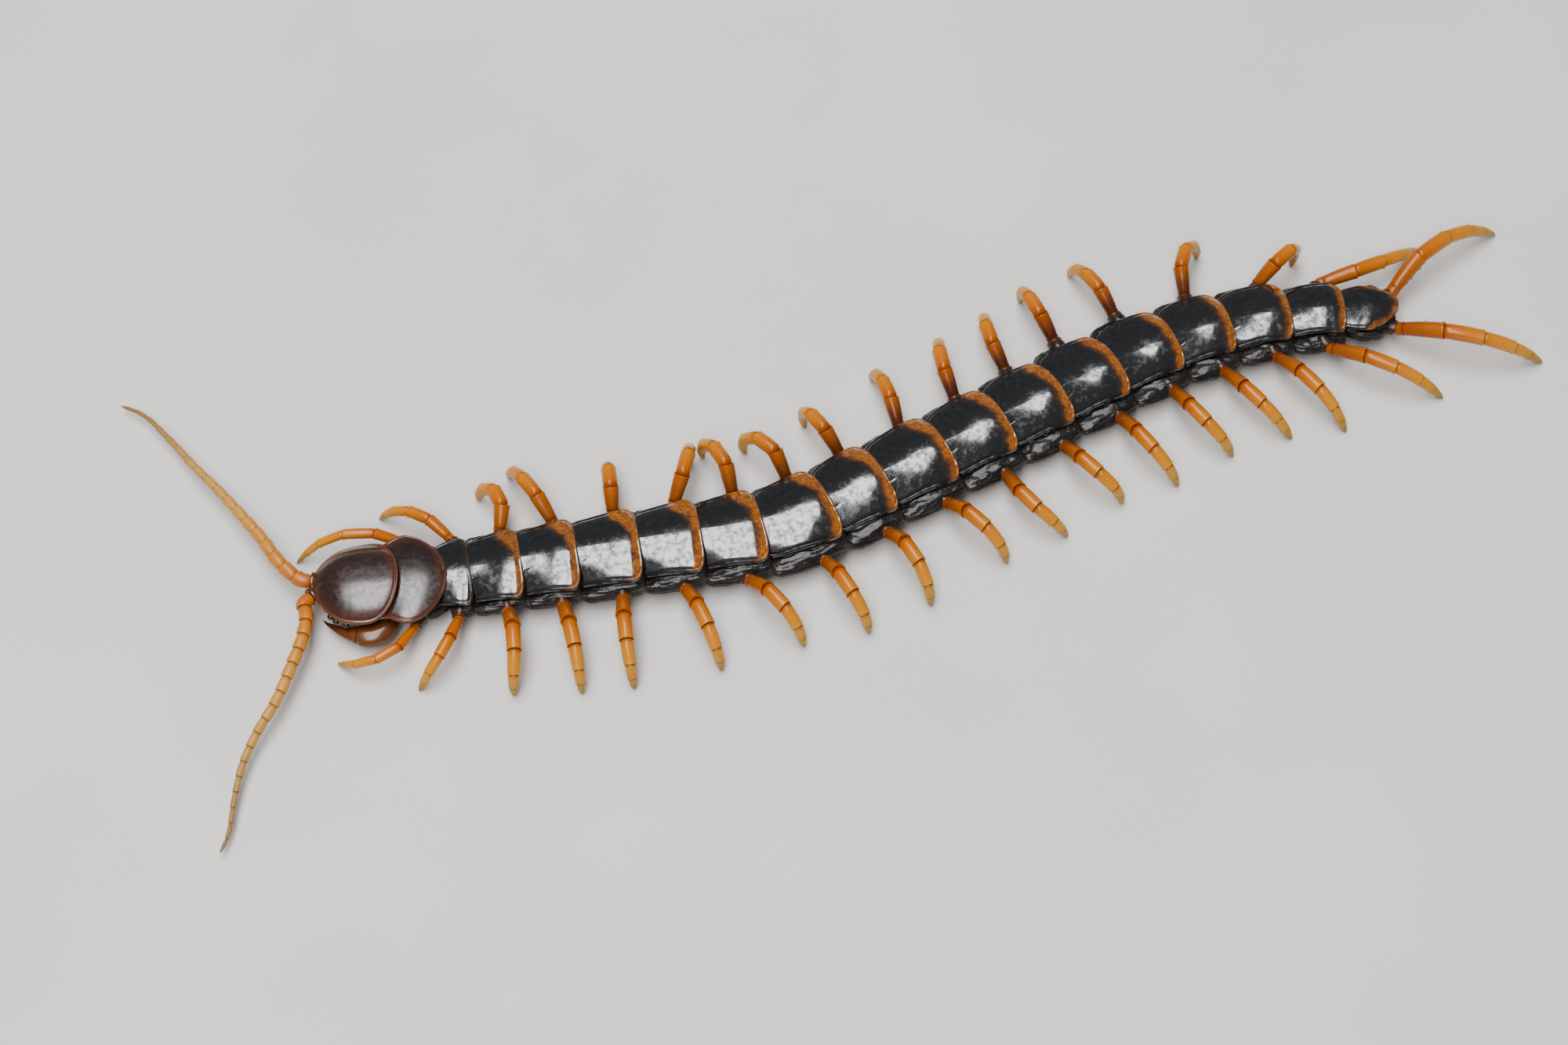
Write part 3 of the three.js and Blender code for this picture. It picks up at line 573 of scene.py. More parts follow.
def leg_paint():
    """Leg: brown at the root, orange, then ochre and olive to the tip, darker in the joints."""
    paint = Paint("leg_cuticle", Coat_Weight=0.2, Coat_Roughness=0.08, IOR=1.4,
                  Subsurface_Weight=0.22, Subsurface_Radius=FLESH_REACH, Subsurface_Scale=0.0011)
    broad = paint.noise(1.7, 3, seed=1.2)
    fine = paint.noise(0.3, 3, seed=5.5)
    wander = paint.math("MULTIPLY_ADD", broad, 0.1, -0.05)
    shifted = paint.math("ADD", paint.value("along"), wander)
    colour = paint.ramp(shifted, [
        (0.0, LEG_ORANGE), (0.34, LEG_ORANGE), (0.62, LEG_YELLOW),
        (0.80, OCHRE), (0.93, LEG_TIP), (1.0, (0.2, 0.11, 0.04)),
    ])
    colour = paint.tint(colour, paint.range(broad, 0.45, 0.8), 0.35, (0.50, 0.14, 0.02))
    colour = paint.tint(colour, paint.range(shifted, 0.42, 0.06), paint.value("tone"), LEG_ROOT)
    colour = paint.tint(colour, paint.value("joint"), 0.6, (0.26, 0.075, 0.016))
    return paint.finish(colour, paint.grain(fine, 0.2, 0.36), fine, depth=0.02, strength=0.5)


def feeler_paint():
    """Feeler: orange at its root, straw and then olive to its tip."""
    paint = Paint("feeler_cuticle", IOR=1.5, Subsurface_Weight=0.2,
                  Subsurface_Radius=FLESH_REACH, Subsurface_Scale=0.001)
    along = paint.value("along")
    fine = paint.noise(0.16, 3, seed=3.9)
    broad = paint.noise(1.4, 2, seed=6.6)
    colour = paint.ramp(along, [
        (0.0, (0.50, 0.15, 0.028)), (0.12, (0.58, 0.22, 0.04)), (0.35, (0.60, 0.31, 0.075)),
        (0.6, (0.52, 0.31, 0.09)), (0.85, (0.34, 0.22, 0.085)), (1.0, (0.23, 0.15, 0.07)),
    ])
    colour = paint.tint(colour, paint.range(broad, 0.4, 0.75), 0.3, (0.42, 0.16, 0.03))
    colour = paint.tint(colour, paint.value("joint"), 0.6, (0.17, 0.065, 0.02))
    rough = paint.math("ADD", paint.grain(fine, 0.24, 0.4), paint.math("MULTIPLY", along, 0.16))
    return paint.finish(colour, rough, fine, depth=0.03, strength=0.6)


def poison_claw_paint():
    """Poison claw: red-brown with a black point."""
    paint = Paint("poison_claw_cuticle", Coat_Weight=0.35, Coat_Roughness=0.1, IOR=1.54,
                  Subsurface_Weight=0.12, Subsurface_Radius=(1.0, 0.4, 0.15), Subsurface_Scale=0.001)
    broad = paint.noise(2.2, 3, seed=2.6)
    fine = paint.noise(0.4, 3, seed=7.1)
    shifted = paint.math("ADD", paint.value("along"), paint.math("MULTIPLY_ADD", broad, 0.16, -0.08))
    colour = paint.ramp(shifted, [
        (0.0, (0.085, 0.030, 0.014)), (0.3, (0.13, 0.050, 0.020)), (0.6, (0.17, 0.062, 0.018)),
        (0.8, (0.13, 0.038, 0.010)), (0.93, (0.028, 0.011, 0.007)), (1.0, (0.008, 0.005, 0.005)),
    ])
    colour = paint.tint(colour, paint.value("joint"), 0.8, (0.05, 0.018, 0.008))
    return paint.finish(colour, paint.grain(fine, 0.2, 0.34), fine, depth=0.025, strength=0.5)


def eye_paint():
    """Simple eye: a small glossy black lens."""
    paint = Paint("eye_lens", Coat_Weight=1.0, Coat_Roughness=0.04, IOR=1.5)
    fine = paint.noise(0.1, 2, seed=4.1)
    colour = paint.blend(fine, (0.004, 0.004, 0.005), (0.009, 0.008, 0.007))
    return paint.finish(colour, paint.grain(fine, 0.08, 0.14), fine, depth=0.003, strength=0.3)


def floor_paint():
    """Plain matt floor."""
    paint = Paint("pale_floor")
    broad = paint.noise(60, 3, seed=1.1)
    colour = paint.blend(paint.range(broad, 0.3, 0.7), (0.70, 0.69, 0.67), (0.74, 0.73, 0.71))
    return paint.finish(colour, 0.85, paint.noise(0.8, 2), depth=0.02, strength=0.2)


PLATE = plate_paint()
HEAD = head_paint()
SKIN = skin_paint()
BELLY_PAINT = belly_paint()
LEG = leg_paint()
FEELER = feeler_paint()
POISON = poison_claw_paint()
EYE = eye_paint()


def table_column(rows, x, column):
    """A smooth curve through one column of a table of shares."""
    keys = np.array([row[0] for row in rows], float)
    data = np.array([row[column] for row in rows], float)
    slopes = np.gradient(data, keys)
    x = np.clip(x, keys[0], keys[-1])
    k = np.clip(np.searchsorted(keys, x, side="right") - 1, 0, len(keys) - 2)
    width = keys[k + 1] - keys[k]
    t = (x - keys[k]) / width
    secant = (data[k + 1] - data[k]) / width
    a = np.sign(slopes[k]) * np.minimum(np.abs(slopes[k]), 2.5 * np.abs(secant))
    b = np.sign(slopes[k + 1]) * np.minimum(np.abs(slopes[k + 1]), 2.5 * np.abs(secant))
    t2, t3 = t * t, t * t * t
    return (
        (2 * t3 - 3 * t2 + 1) * data[k]
        + (t3 - 2 * t2 + t) * width * a
        + (3 * t2 - 2 * t3) * data[k + 1]
        + (t3 - t2) * width * b
    )


EDGE_STEPS = [0, 0.07, 0.15, 0.24, 0.34, 0.44, 0.54, 0.66, 0.8, 1.0, 1.3]
INNER_SHARES = np.linspace(0.97, 0.03, 16)
PLATE_SIDES = 176


def unit_outline(angles, front_power, rear_power):
    """A rounded square in (along, across), with rounder corners for a lower power."""
    along, across = np.cos(angles), np.sin(angles)
    power = mix(front_power, rear_power, smooth_step((along + 0.4) / 0.8))
    reach = (np.abs(along) ** power + np.abs(across) ** power) ** (-1 / power)
    return along * reach, across * reach


def plate_form(surface, margin, values, front_power, rear_power, thickness=0.35, up=1, sides=PLATE_SIDES):
    """A closed plate: rings from the middle of its face to its outline and back underneath.

    surface(along, across) gives station, right and height of the face; margin(distance, along,
    across) gives what the raised rim adds; values(...) gives what its paint reads.
    """
    angles = np.linspace(0, 2 * np.pi, sides, endpoint=False) + np.pi / sides
    along, across = unit_outline(angles, front_power, rear_power)
    station, right, _ = surface(along, across)
    middle_station, middle_right, _ = surface(0.0, 0.0)
    reach = np.hypot(station - middle_station, right - middle_right)
    rings, distances = [], []
    face = [1 - step / reach for step in EDGE_STEPS]
    inner = face[-1]
    shares = [inner * s for s in INNER_SHARES[::-1]] + face[::-1]
    for share in shares:
        station, right, z = surface(along * share, across * share)
        distance = (1 - share) * reach
        z = z + up * margin(distance, along * share, across * share)
        rings.append((station, right, z))
        distances.append(distance)
    top_z = rings[-1][2]
    outward = 0.06 / reach
    for push, fall in ((1, 0.12), (0.3, thickness * 0.8), (-1.5, thickness)):
        s, r, _ = surface(along * (1 + outward * push), across * (1 + outward * push))
        rings.append((s, r, top_z - up * fall))
        distances.append(0 * reach)
    for share in (0.9, 0.7, 0.45, 0.2, 0.05):
        s, r, z = surface(along * share, across * share)
        rings.append((s, r, z - up * thickness * 1.25))
        distances.append(0 * reach)
    form = Form()
    grid = np.array([place(s, r, z) for s, r, z in rings])
    painted = {}
    for row, (s, r, z) in enumerate(rings):
        share = shares[row] if row < len(shares) else 1.0
        for key, value in values(distances[row], along * share, across * share).items():
            painted.setdefault(key, []).append(np.broadcast_to(value, (sides,)))
    form.loft(grid, **{key: np.array(rows) for key, rows in painted.items()})
    return form


def edge_of(i):
    """Station, bow and half width of an edge of the trunk; edge 0 is the head's rear edge."""
    station = HEAD_LENGTH + GAP + sum(SEGMENT_LENGTHS[:i])
    bow = {0: HEAD_REAR_BOW, 1: FIRST_REAR_BOW, SEGMENTS: TAIL_BOW}.get(i, PLATE_BOW)
    half = HEAD_HALF_WIDTH if i == 0 else PLATE_HALF_WIDTHS[i - 1]
    return station, bow, half


def plate_shares(i):
    return {0: FIRST_SHARES, SEGMENTS - 1: TAIL_SHARES}.get(i, PLATE_SHARES)


def widening_factor(i, share):
    return 1 + RIGHT_WIDENINGS[i] * (1 - 0.6 * share ** 2) / PLATE_HALF_WIDTHS[i]


def widened(i, share, right):
    """Distances to the right with the wider right side of a segment in its bend."""
    return np.where(right > 0, right * widening_factor(i, share), right)


def right_arc(i, share):
    """How far the outline of a plate arches out on the right of the body."""
    return 0.55 * max(0, SIDE_BULGES[i] - 0.6) * np.sin(np.pi * np.clip(share, 0, 1) ** 0.8) ** 0.7


def fullness(i):
    """How much of the full droop and swell a plate has, by its length."""
    return min(1, SEGMENT_LENGTHS[i] / FULL_LENGTH)


def plate_size(i, share):
    """Half width, rim height and crown height of a trunk plate at shares of its length."""
    rows = plate_shares(i)
    full = PLATE_HALF_WIDTHS[i]
    tall = FIRST_PLATE_HEIGHT_WIDTH if i == 0 else full
    drop = table_column(rows, share, 2)
    if 0 < i < SEGMENTS - 1:
        sink = mix(EDGE_SINKS[i], EDGE_SINKS[i + 1], np.clip(share, 0, 1))
        drop = drop * fullness(i) ** 2 + sink
    return (
        full * table_column(rows, share, 1),
        RIM_BASE + RIM_PER_HALF_WIDTH * tall - drop / 2,
        CROWN_BASE + CROWN_PER_HALF_WIDTH * tall - drop,
    )


def dome(rim, crown, across, roundness=BACK_ROUNDNESS):
    return rim + (crown - rim) * (1 - np.abs(across) ** roundness)


def corner_dip(i, share, across):
    """How far the front corners of a middle plate droop, and its rear edge falls."""
    if i in (0, SEGMENTS - 1):
        return 0 * share
    scale = fullness(i)
    corner = CORNER_DIP * scale ** 1.5 * np.maximum(0, -across) ** 1.2
    rear = REAR_FALL * scale * np.clip((share - REAR_FALL_START) / (1 - REAR_FALL_START), 0, 1.1) ** 2
    return corner * np.clip(1 - share / CORNER_DIP_LENGTH, 0, 1.1) ** 2 + rear


def trunk_plate(i):
    """Back plate of a segment, with a rolled margin and its rear edge over the next plate."""
    front, front_bow, front_half = edge_of(i)
    rear, rear_bow, rear_half = edge_of(i + 1)
    first, last = i == 0, i == SEGMENTS - 1
    start = front - (FIRST_TUCK if first else TUCK)
    end = rear + (0 if last else REAR_LIP) - 0.04 * rear_bow
    half_length = (end - start) / 2

    def surface(along, across):
        share = (along + 1) / 2
        station = mix(start, end, share)
        true_share = (station - front) / (rear - front)
        half, rim, crown = plate_size(i, true_share)
        tucked = np.maximum(0, front - station)
        held = np.clip(true_share, 0, 1)
        arc = 0 if first or last else right_arc(i, held) * np.maximum(0, across) ** 1.5
        right = widened(i, held, across * half) + arc
        bow = mix(front_bow, rear_bow, held)
        bow_half = mix(front_half, rear_half, held)
        strength = 0 if first or last else SWELL * fullness(i) ** 3
        swell = strength * ridge(true_share, SWELL_MIDDLE, SWELL_WIDTH)
        height = dome(rim, crown, across) - 0.35 * tucked + swell * (1 - across ** 2)
        height = height - corner_dip(i, true_share, across)
        return station - bow * (right / bow_half) ** 2, right, height

    def margin(distance, along, across):
        sidewards = smooth_step((np.abs(across) - 0.55) / 0.25)
        rearwards = smooth_step((along - 0.75) / 0.2) * (1 - sidewards)
        forwards = smooth_step((-along - 0.9) / 0.08)
        round_rear = smooth_step((along - 0.1) / 0.5) if first or last else 0
        rolled = np.maximum(sidewards, round_rear)
        flatter = mix(1.0, FLAT_MARGIN, smooth_step((across + 0.2) / 0.4))
        profile = ridge(distance, *MARGIN_BEAD) - ridge(distance, *MARGIN_GROOVE)
        rim = profile * rolled * (1 - forwards) * flatter
        rear_bead = ridge(distance, *REAR_BEAD) * rearwards
        from_rear = (1 - along) * half_length
        from_front = (along + 1) * half_length - TUCK
        suture = ridge((np.abs(across) - SUTURE_SIDE) * rear_half, 0, SUTURE_WIDTH)
        reach = np.maximum(smooth_step(1.9 - from_rear), smooth_step(1.6 - from_front))
        depth = SUTURE_DEPTH * (0.25 if i < 2 or last else 1.0)
        return rim + rear_bead - depth * suture * reach

    def values(distance, along, across):
        from_rear = (1 - along) * half_length
        far = smooth_step((across - 0.15) / 0.75)
        near = smooth_step((-across - 0.5) / 0.5)
        width = BAND_WIDTHS[i] * (1 + FAR_FLARE[i] * far + NEAR_FLARE * near)
        if last:
            from_rear = distance + 3 * smooth_step((0.35 - along) / 0.5)
        return {
            "band": from_rear - width,
            "rear": np.where(along > 0.5, distance, 5.0),
            "edge": distance,
            "tone": BAND_TONES[i],
        }

    rear_power = {0: 3.2, SEGMENTS - 1: 4.2}.get(i, 8)
    form = plate_form(surface, margin, values, front_power=9, rear_power=rear_power)
    material, slot = (HEAD, "front_plate") if first else (PLATE, "trunk_shell")
    form.piece(numbered("tergite", i), material, slot, [numbered("segment", i)])


def head_outline(station):
    """Half width of the head plate at stations, and how far its sides bow back."""
    half = HEAD_HALF_WIDTH * table_column(HEAD_SHARES, station, 1)
    return half, HEAD_REAR_BOW * smooth_step((station - 4) / (HEAD_LENGTH - 4))


def head_plate():
    """Plate over the head: an oval dome with a raised rim, bowing back over the first plate."""
    def surface(along, across):
        station = mix(-0.3, HEAD_LENGTH, (along + 1) / 2)
        half, bow = head_outline(station)
        rise = table_column(HEAD_SHARES, station, 2)
        right = across * half
        height = dome(HEAD_RIM, HEAD_RIM + (HEAD_CROWN - HEAD_RIM) * rise, across, HEAD_ROUNDNESS)
        dip = 0.18 * ridge(right, 0, 0.5) * smooth_step((4.5 - station) / 4)
        return station - bow * (right / HEAD_HALF_WIDTH) ** 2, right, height - dip - HEAD_TILT * right

    def margin(distance, along, across):
        strength = mix(0.6, 1.0, smooth_step((np.abs(across) + np.maximum(0, along) - 0.6) / 0.4))
        return (ridge(distance, *HEAD_BEAD) - ridge(distance, *HEAD_GROOVE)) * strength

    def values(distance, along, across):
        return {"edge": distance, "tone": 0.0}

    form = plate_form(surface, margin, values, front_power=3.2, rear_power=5.5, thickness=0.4)
    form.piece("head_plate", HEAD, "head_shell", ["head"])


def ring_round(centre, direction, radius, sides, flatness=1.0):
    """A ring of points round a centre, square to a direction, with one axis kept level."""
    level, upright = cross_axes(direction)
    angles = 2 * np.pi * (np.arange(sides) + 0.5) / sides
    return (
        centre
        + radius * np.cos(angles)[:, None] * level
        + radius * flatness * np.sin(angles)[:, None] * upright
    )


def rings_along(centre, direction, profile, sides, flatness=1.0):
    """Rings along a straight axis, for a profile of steps along it and radii."""
    return [ring_round(centre + direction * step, direction, radius, sides, flatness)
            for step, radius in profile]


def head_capsule():
    """Cheeks and underside of the head below its plate, with the face in front."""
    form = Form()
    rings = []
    top = HEAD_RIM - 0.05
    angles = 2 * np.pi * (np.arange(48) + 0.5) / 48
    for station in np.linspace(0.5, 14.2, 24):
        outline, bow = (float(v) for v in head_outline(np.array(station)))
        half = outline * 0.9 - 0.35
        closing = math.sin(math.radians(90) * min(1, (station - 0.2) / 2.2))
        low = 4.25 + 0.5 * (1 - closing)
        across = np.sign(np.cos(angles)) * np.abs(np.cos(angles)) ** 0.7 * half * closing ** 0.4
        up = np.sign(np.sin(angles)) * np.abs(np.sin(angles)) ** 0.8
        z = (top + low) / 2 + up * (top - low) / 2
        rings.append(place(station - bow * (across / HEAD_HALF_WIDTH) ** 2, across, z))
    form.loft(rings, edge=0.9, tone=0.2)
    form.piece("head_capsule", HEAD, "head_shell", ["head"])


def eyes(side, name):
    """Four simple eyes in two rows at the head plate's margin, each in a raised rim."""
    form = Form()
    sockets = Form()
    for k in range(EYES_PER_SIDE):
        station = FIRST_EYE_STATION + EYE_STEP * k
        lower_row = k % 2
        right = side * (FIRST_EYE_SIDE[side] + 0.4 * k + 0.4 * lower_row)
        centre = place(station, right, HEAD_RIM + 0.1 - 0.35 * lower_row)
        out = unit(sideways(station, side, 0) + np.array([0, 0, 0.9]))
        lens = [(EYE_RADIUS * math.cos(a), EYE_RADIUS * math.sin(a)) for a in np.linspace(0.08, 1.75, 11)]
        form.loft(rings_along(centre, out, lens, 24))
        sockets.loft(rings_along(centre, out, EYE_RIM, 24), edge=0.5, tone=0.3)
    form.piece(f"ocelli_{name}", EYE, "head_shell", ["head"])
    sockets.piece(f"ocelli_rims_{name}", HEAD, "head_shell", ["head"])


def catmull_rom(controls, samples):
    """Points along the centripetal curve through the controls, evenly spaced by length."""
    controls = np.asarray(controls, float)
    padded = np.vstack([2 * controls[0] - controls[1], controls, 2 * controls[-1] - controls[-2]])
    fine = []
    for k in range(len(controls) - 1):
        p0, p1, p2, p3 = padded[k:k + 4]
        d0, d1, d2 = (max(1e-6, np.linalg.norm(b - a)) ** 0.5 for a, b in ((p0, p1), (p1, p2), (p2, p3)))
        m1 = ((p1 - p0) / d0 - (p2 - p0) / (d0 + d1) + (p2 - p1) / d1) * d1
        m2 = ((p2 - p1) / d1 - (p3 - p1) / (d1 + d2) + (p3 - p2) / d2) * d1
        t = np.linspace(0, 1, 40, endpoint=k == len(controls) - 2)[:, None]
        fine.append(p1 + m1 * t + (3 * (p2 - p1) - 2 * m1 - m2) * t ** 2 + (2 * (p1 - p2) + m1 + m2) * t ** 3)
    fine = np.vstack(fine)
    lengths = np.concatenate([[0], np.cumsum(np.linalg.norm(np.diff(fine, axis=0), axis=1))])
    wanted = np.linspace(0, 1, samples) * lengths[-1]
    return np.stack([np.interp(wanted, lengths, fine[:, j]) for j in range(fine.shape[1])], -1)


# Rings of one hard article: share of its length, share of its radius, and how deep in the joint it is
ARTICLE_PROFILE = [
    (0.00, 0.91, 0.8), (0.03, 0.95, 0.5), (0.08, 0.985, 0.15), (0.18, 1.0, 0), (0.4, 1.015, 0),
    (0.62, 1.01, 0), (0.8, 0.99, 0), (0.9, 0.99, 0), (0.95, 1.01, 0), (0.98, 1.015, 0.1), (0.995, 0.99, 0.4),
]


ARTICLE_SIDES = 22
# Rings that close an article: step and radius, both against its end radius
ARTICLE_END = [(0.0, 0.9), (-0.12, 0.7), (-0.2, 0.35)]
SPIKE_SHARES = (-0.25, 0.0, 0.25, 0.5, 0.72, 0.88, 1.0)


def add_article(form, a, b, start_radius, end_radius, arch=0.0, along=(0, 1), tone=0.0):
    """One stiff article from a to b, with a neck inside the one before and a lip at its end."""
    axis = b - a
    length = np.linalg.norm(axis)
    direction = axis / length
    upright = cross_axes(direction)[1]
    neck = min(0.5, 0.3 * length)
    root = [(-neck, start_radius * 0.5), (-neck * 0.6, start_radius * 0.72)]
    rings = rings_along(a, direction, root, ARTICLE_SIDES)
    for share, girth, _ in ARTICLE_PROFILE:
        radius = mix(start_radius, end_radius, share ** 1.15) * girth
        centre = a + axis * share + upright * arch * length * 4 * share * (1 - share)
        rings.append(ring_round(centre, direction, radius, ARTICLE_SIDES))
    end = [(step * end_radius, end_radius * girth) for step, girth in ARTICLE_END]
    rings += rings_along(b, direction, end, ARTICLE_SIDES)
    marks = np.array([0, 0] + [row[0] for row in ARTICLE_PROFILE] + [1, 1, 1], float)
    depths = np.array([1, 1] + [row[2] for row in ARTICLE_PROFILE] + [1, 1, 1], float)
    form.loft(rings, along=mix(*along, marks)[:, None], joint=depths[:, None], tone=tone)


def add_spike(form, root, direction, length, radius, along, tone=0.0):
    """A small pointed spine or claw."""
    way = unit(direction + 1e-4)
    rings = []
    for share in SPIKE_SHARES:
        girth = radius * max(0.04, 1 - max(0, share)) ** 0.8
        rings.append(ring_round(root + direction * length * share, way, girth, 10))
    form.loft(rings, along=along, joint=0.0, tone=tone)


def bead_rings(curve, bead):
    """Rings of one feeler bead, with how far along the feeler and how deep in a joint each is."""
    last = len(curve) - 1
    rings, marks, depths = [], [], []
    for share, girth in BEAD_PROFILE:
        t = (bead + min(1, max(share, -bead))) / FEELER_BEADS
        t = FEELER_REACH * min(1, max(0, t))
        at = t * last
        k = min(last - 1, int(at))
        direction = unit(curve[min(last, k + 3)] - curve[max(0, k - 2)])
        radius = mix(FEELER_ROOT_RADIUS, FEELER_TIP_RADIUS, t ** 1.2) * girth
        if bead == FEELER_BEADS - 1 and share > 0.4:
            radius *= max(0.12, 1 - ((share - 0.4) / 0.6) ** 2)
        rings.append(ring_round(mix(curve[k], curve[k + 1], at - k), direction, radius, 20))
        marks.append(t)
        depths.append(1.0 if share < 0.0 or share > 0.96 else max(0, 1 - (share / 0.12)) * 0.8)
    return rings, np.array(marks)[:, None], np.array(depths)[:, None]


def feeler(name, route):
    """A feeler of beads that thin out to its tip, and its socket on the head."""
    controls = [place(-ahead, right, z) for ahead, right, z in route]
    curve = catmull_rom(controls, FEELER_BEADS * 10 + 1)
    form = Form()
    for bead in range(FEELER_BEADS):
        rings, marks, depths = bead_rings(curve, bead)
        form.loft(rings, along=marks, joint=depths)
    form.piece(f"antenna_articles_{name}", FEELER, "feeler", [f"antenna_{name}"])
    collar = Form()
    out = unit(controls[1] - controls[0])
    collar.loft(rings_along(controls[0], out, FEELER_SOCKET, 28), edge=0.35, tone=0.0)
    collar.piece(f"antenna_articles_{name}_socket", HEAD, "head_shell", ["head"])


def claw_rings(rows, side, radii, drop=0.0):
    """Rings of a poison claw along rows of its curve, with where they end and which way."""
    centres = place(rows[:, 0], side * rows[:, 1], CLAW_HEIGHT - drop)
    ways = [unit(d) for d in np.gradient(centres, axis=0)]
    rings = [ring_round(c, d, r, CLAW_SIDES, CLAW_FLATNESS) for c, d, r in zip(centres, ways, radii)]
    return rings, centres[-1], ways[-1]


def poison_claw(side, name):
    """Poison claw: a swollen root article and a dark pointed fang."""
    table = np.array(CLAW_SHAPE, float)
    if side > 0:
        table[:, 1] = mix(CLAW_ROOT_SIDE, table[:, 1], RIGHT_CLAW_REACH)
    curve = catmull_rom(table, CLAW_SAMPLES)
    past_bend = CLAW_SAMPLES // 3
    joint = int(np.argmin(np.abs(curve[past_bend:, 0] - CLAW_JOINT))) + past_bend
    root = curve[:joint + 1:3]
    count = len(root)
    swell = 1 + 0.05 * np.sin(np.linspace(0, np.pi, count))
    lip = np.where(np.arange(count) >= count - 2, 1.03, 1.0)
    rings, end, way = claw_rings(root, side, root[:, 2] * (swell * lip))
    closing = [(0.06, root[-1, 2] * 0.92), (-0.15, root[-1, 2] * 0.6)]
    rings += rings_along(end, way, closing, CLAW_SIDES, CLAW_FLATNESS)
    marks = np.concatenate([np.linspace(0, 0.6, count), [0.6, 0.6]])
    depth = np.concatenate([np.zeros(count - 1), [0.15, 0.9, 1]])
    base = Form()
    base.loft(rings, along=marks[:, None], joint=depth[:, None])
    base.piece(f"forcipule_{name}_base", POISON, "poison_claw", [f"forcipule_{name}"])
    fang = curve[joint - 3:]
    shares = np.linspace(0, 1, len(fang))
    radii = mix(*FANG_RADII, shares ** 0.85) * np.where(shares < 0.05, 0.82, 1)
    rings = claw_rings(fang, side, radii, FANG_DROP * shares ** 2)[0]
    form = Form()
    form.loft(rings, along=mix(0.6, 1, shares)[:, None], joint=np.maximum(0, 1 - shares / 0.05)[:, None])
    form.piece(f"forcipule_{name}_fang", POISON, "poison_claw", [f"forcipule_{name}"])


def claw_base():
    """Plate under the head between the poison claws, with two dark toothed plates in front."""
    def surface(along, across):
        station = mix(5.2, 14.0, (along + 1) / 2)
        half = mix(2.4, 4.4, smooth_step((along + 1) / 0.9))
        height = 1.75 + 0.9 * np.abs(across) ** 2.4 + 0.5 * smooth_step((-along - 0.4) / 0.6)
        return station, across * half, height

    def margin(distance, along, across):
        middle_groove = ridge(across, 0, 0.04, 0.1) * smooth_step((-along - 0.1) / 0.5)
        return ridge(distance, 0.2, 0.15, 0.08) - middle_groove

    def values(distance, along, across):
        return {"along": mix(0.25, 0.0, (along + 1) / 2), "joint": 0.0}

    form = plate_form(surface, margin, values, front_power=4, rear_power=7, thickness=2.2, up=-1, sides=120)
    form.piece("forcipule_coxosternite", POISON, "poison_claw", ["forcipule_base"])
    teeth = Form()
    for side in (-1, 1):
        for k in range(4):
            root = place(5.3 - 0.1 * k, side * (0.55 + 0.55 * k), 2.45)
            add_spike(teeth, root, place(3, 0, 0) - place(3.8, 0, 0), 1.1, 0.34, along=0.96)
        rings = [ring_round(place(5.6 + step, side * 1.4, 2.55), sideways(5, 1, 90), radius, 24, 0.4)
                 for step, radius in ((0.9, 0.9), (0.2, 1.15), (-0.4, 1.1), (-0.6, 0.9))]
        teeth.loft(rings, along=0.75, joint=0.0)
    teeth.piece("forcipule_teeth", POISON, "poison_claw", ["forcipule_base"])


def mouthparts():
    """Jaws and the two small feeding palps under the front of the head."""
    jaws = Form()
    palps = Form()
    for side in (-1, 1):
        forwards = unit(place(0, 0, 0) - place(1, side * 0.32, 0))
        rings = []
        for share, radius in ((0, 0.7), (0.25, 0.95), (0.5, 1.0), (0.75, 0.85), (0.95, 0.5), (1, 0.3)):
            centre = place(4.6 - 3.4 * share, side * (1.9 - 1.1 * share), 3.75)
            rings.append(ring_round(centre, forwards, radius, 24, 0.62))
        jaws.loft(rings, along=np.array([0.2, 0.25, 0.3, 0.5, 0.85, 0.95])[:, None], joint=0.0)
        palp = ((6.5, 3.9, 3.5), (3.9, 4.1, 3.6), (1.9, 3.3, 3.5), (0.9, 1.7, 3.3))
        joints = [place(station, side * right, z) for station, right, z in palp]
        for k, (start, end) in enumerate(((0.62, 0.66), (0.56, 0.55), (0.48, 0.3))):
            add_article(palps, joints[k], joints[k + 1], start, end, along=(0.3 + 0.15 * k, 0.45 + 0.15 * k))
        add_spike(palps, joints[3], unit(joints[3] - joints[2]), 0.6, 0.14, along=1.0)
    jaws.piece("jaws", POISON, "poison_claw", ["forcipule_base"])
    palps.piece("feeding_palps", LEG, "leg", ["forcipule_base"])


def chain_in_plane(lengths, bend):
    slopes = -bend * LEG_BEND_REACHED
    out = np.concatenate([[0], np.cumsum(lengths * np.cos(slopes))])
    up = np.concatenate([[0], np.cumsum(lengths * np.sin(slopes))])
    return out, up


def leg_slopes(lengths, reach, drop):
    """Slopes of the leg's pieces so that a chain from the root ends at the foot."""
    wanted = math.hypot(reach, drop)
    low, high = 0, math.pi * 1.2
    for _ in range(40):
        middle = (low + high) / 2
        out, up = chain_in_plane(lengths, middle)
        if math.hypot(out[-1], up[-1]) > wanted:
            low = middle
        else:
            high = middle
    out, up = chain_in_plane(lengths, low)
    turn = math.atan2(-drop, reach) - math.atan2(up[-1], out[-1])
    return turn - low * LEG_BEND_REACHED


def root_height(i):
    return FIRST_LEG_ROOT_HEIGHT if i == 0 else LEG_ROOT_HEIGHT


def leg_station(i, legs):
    if i == SEGMENTS - 1:
        return LAST_STUB_STATION
    front, front_bow, _ = edge_of(i)
    rear, rear_bow, _ = edge_of(i + 1)
    return mix(front - front_bow, rear - rear_bow, legs["along"][i])


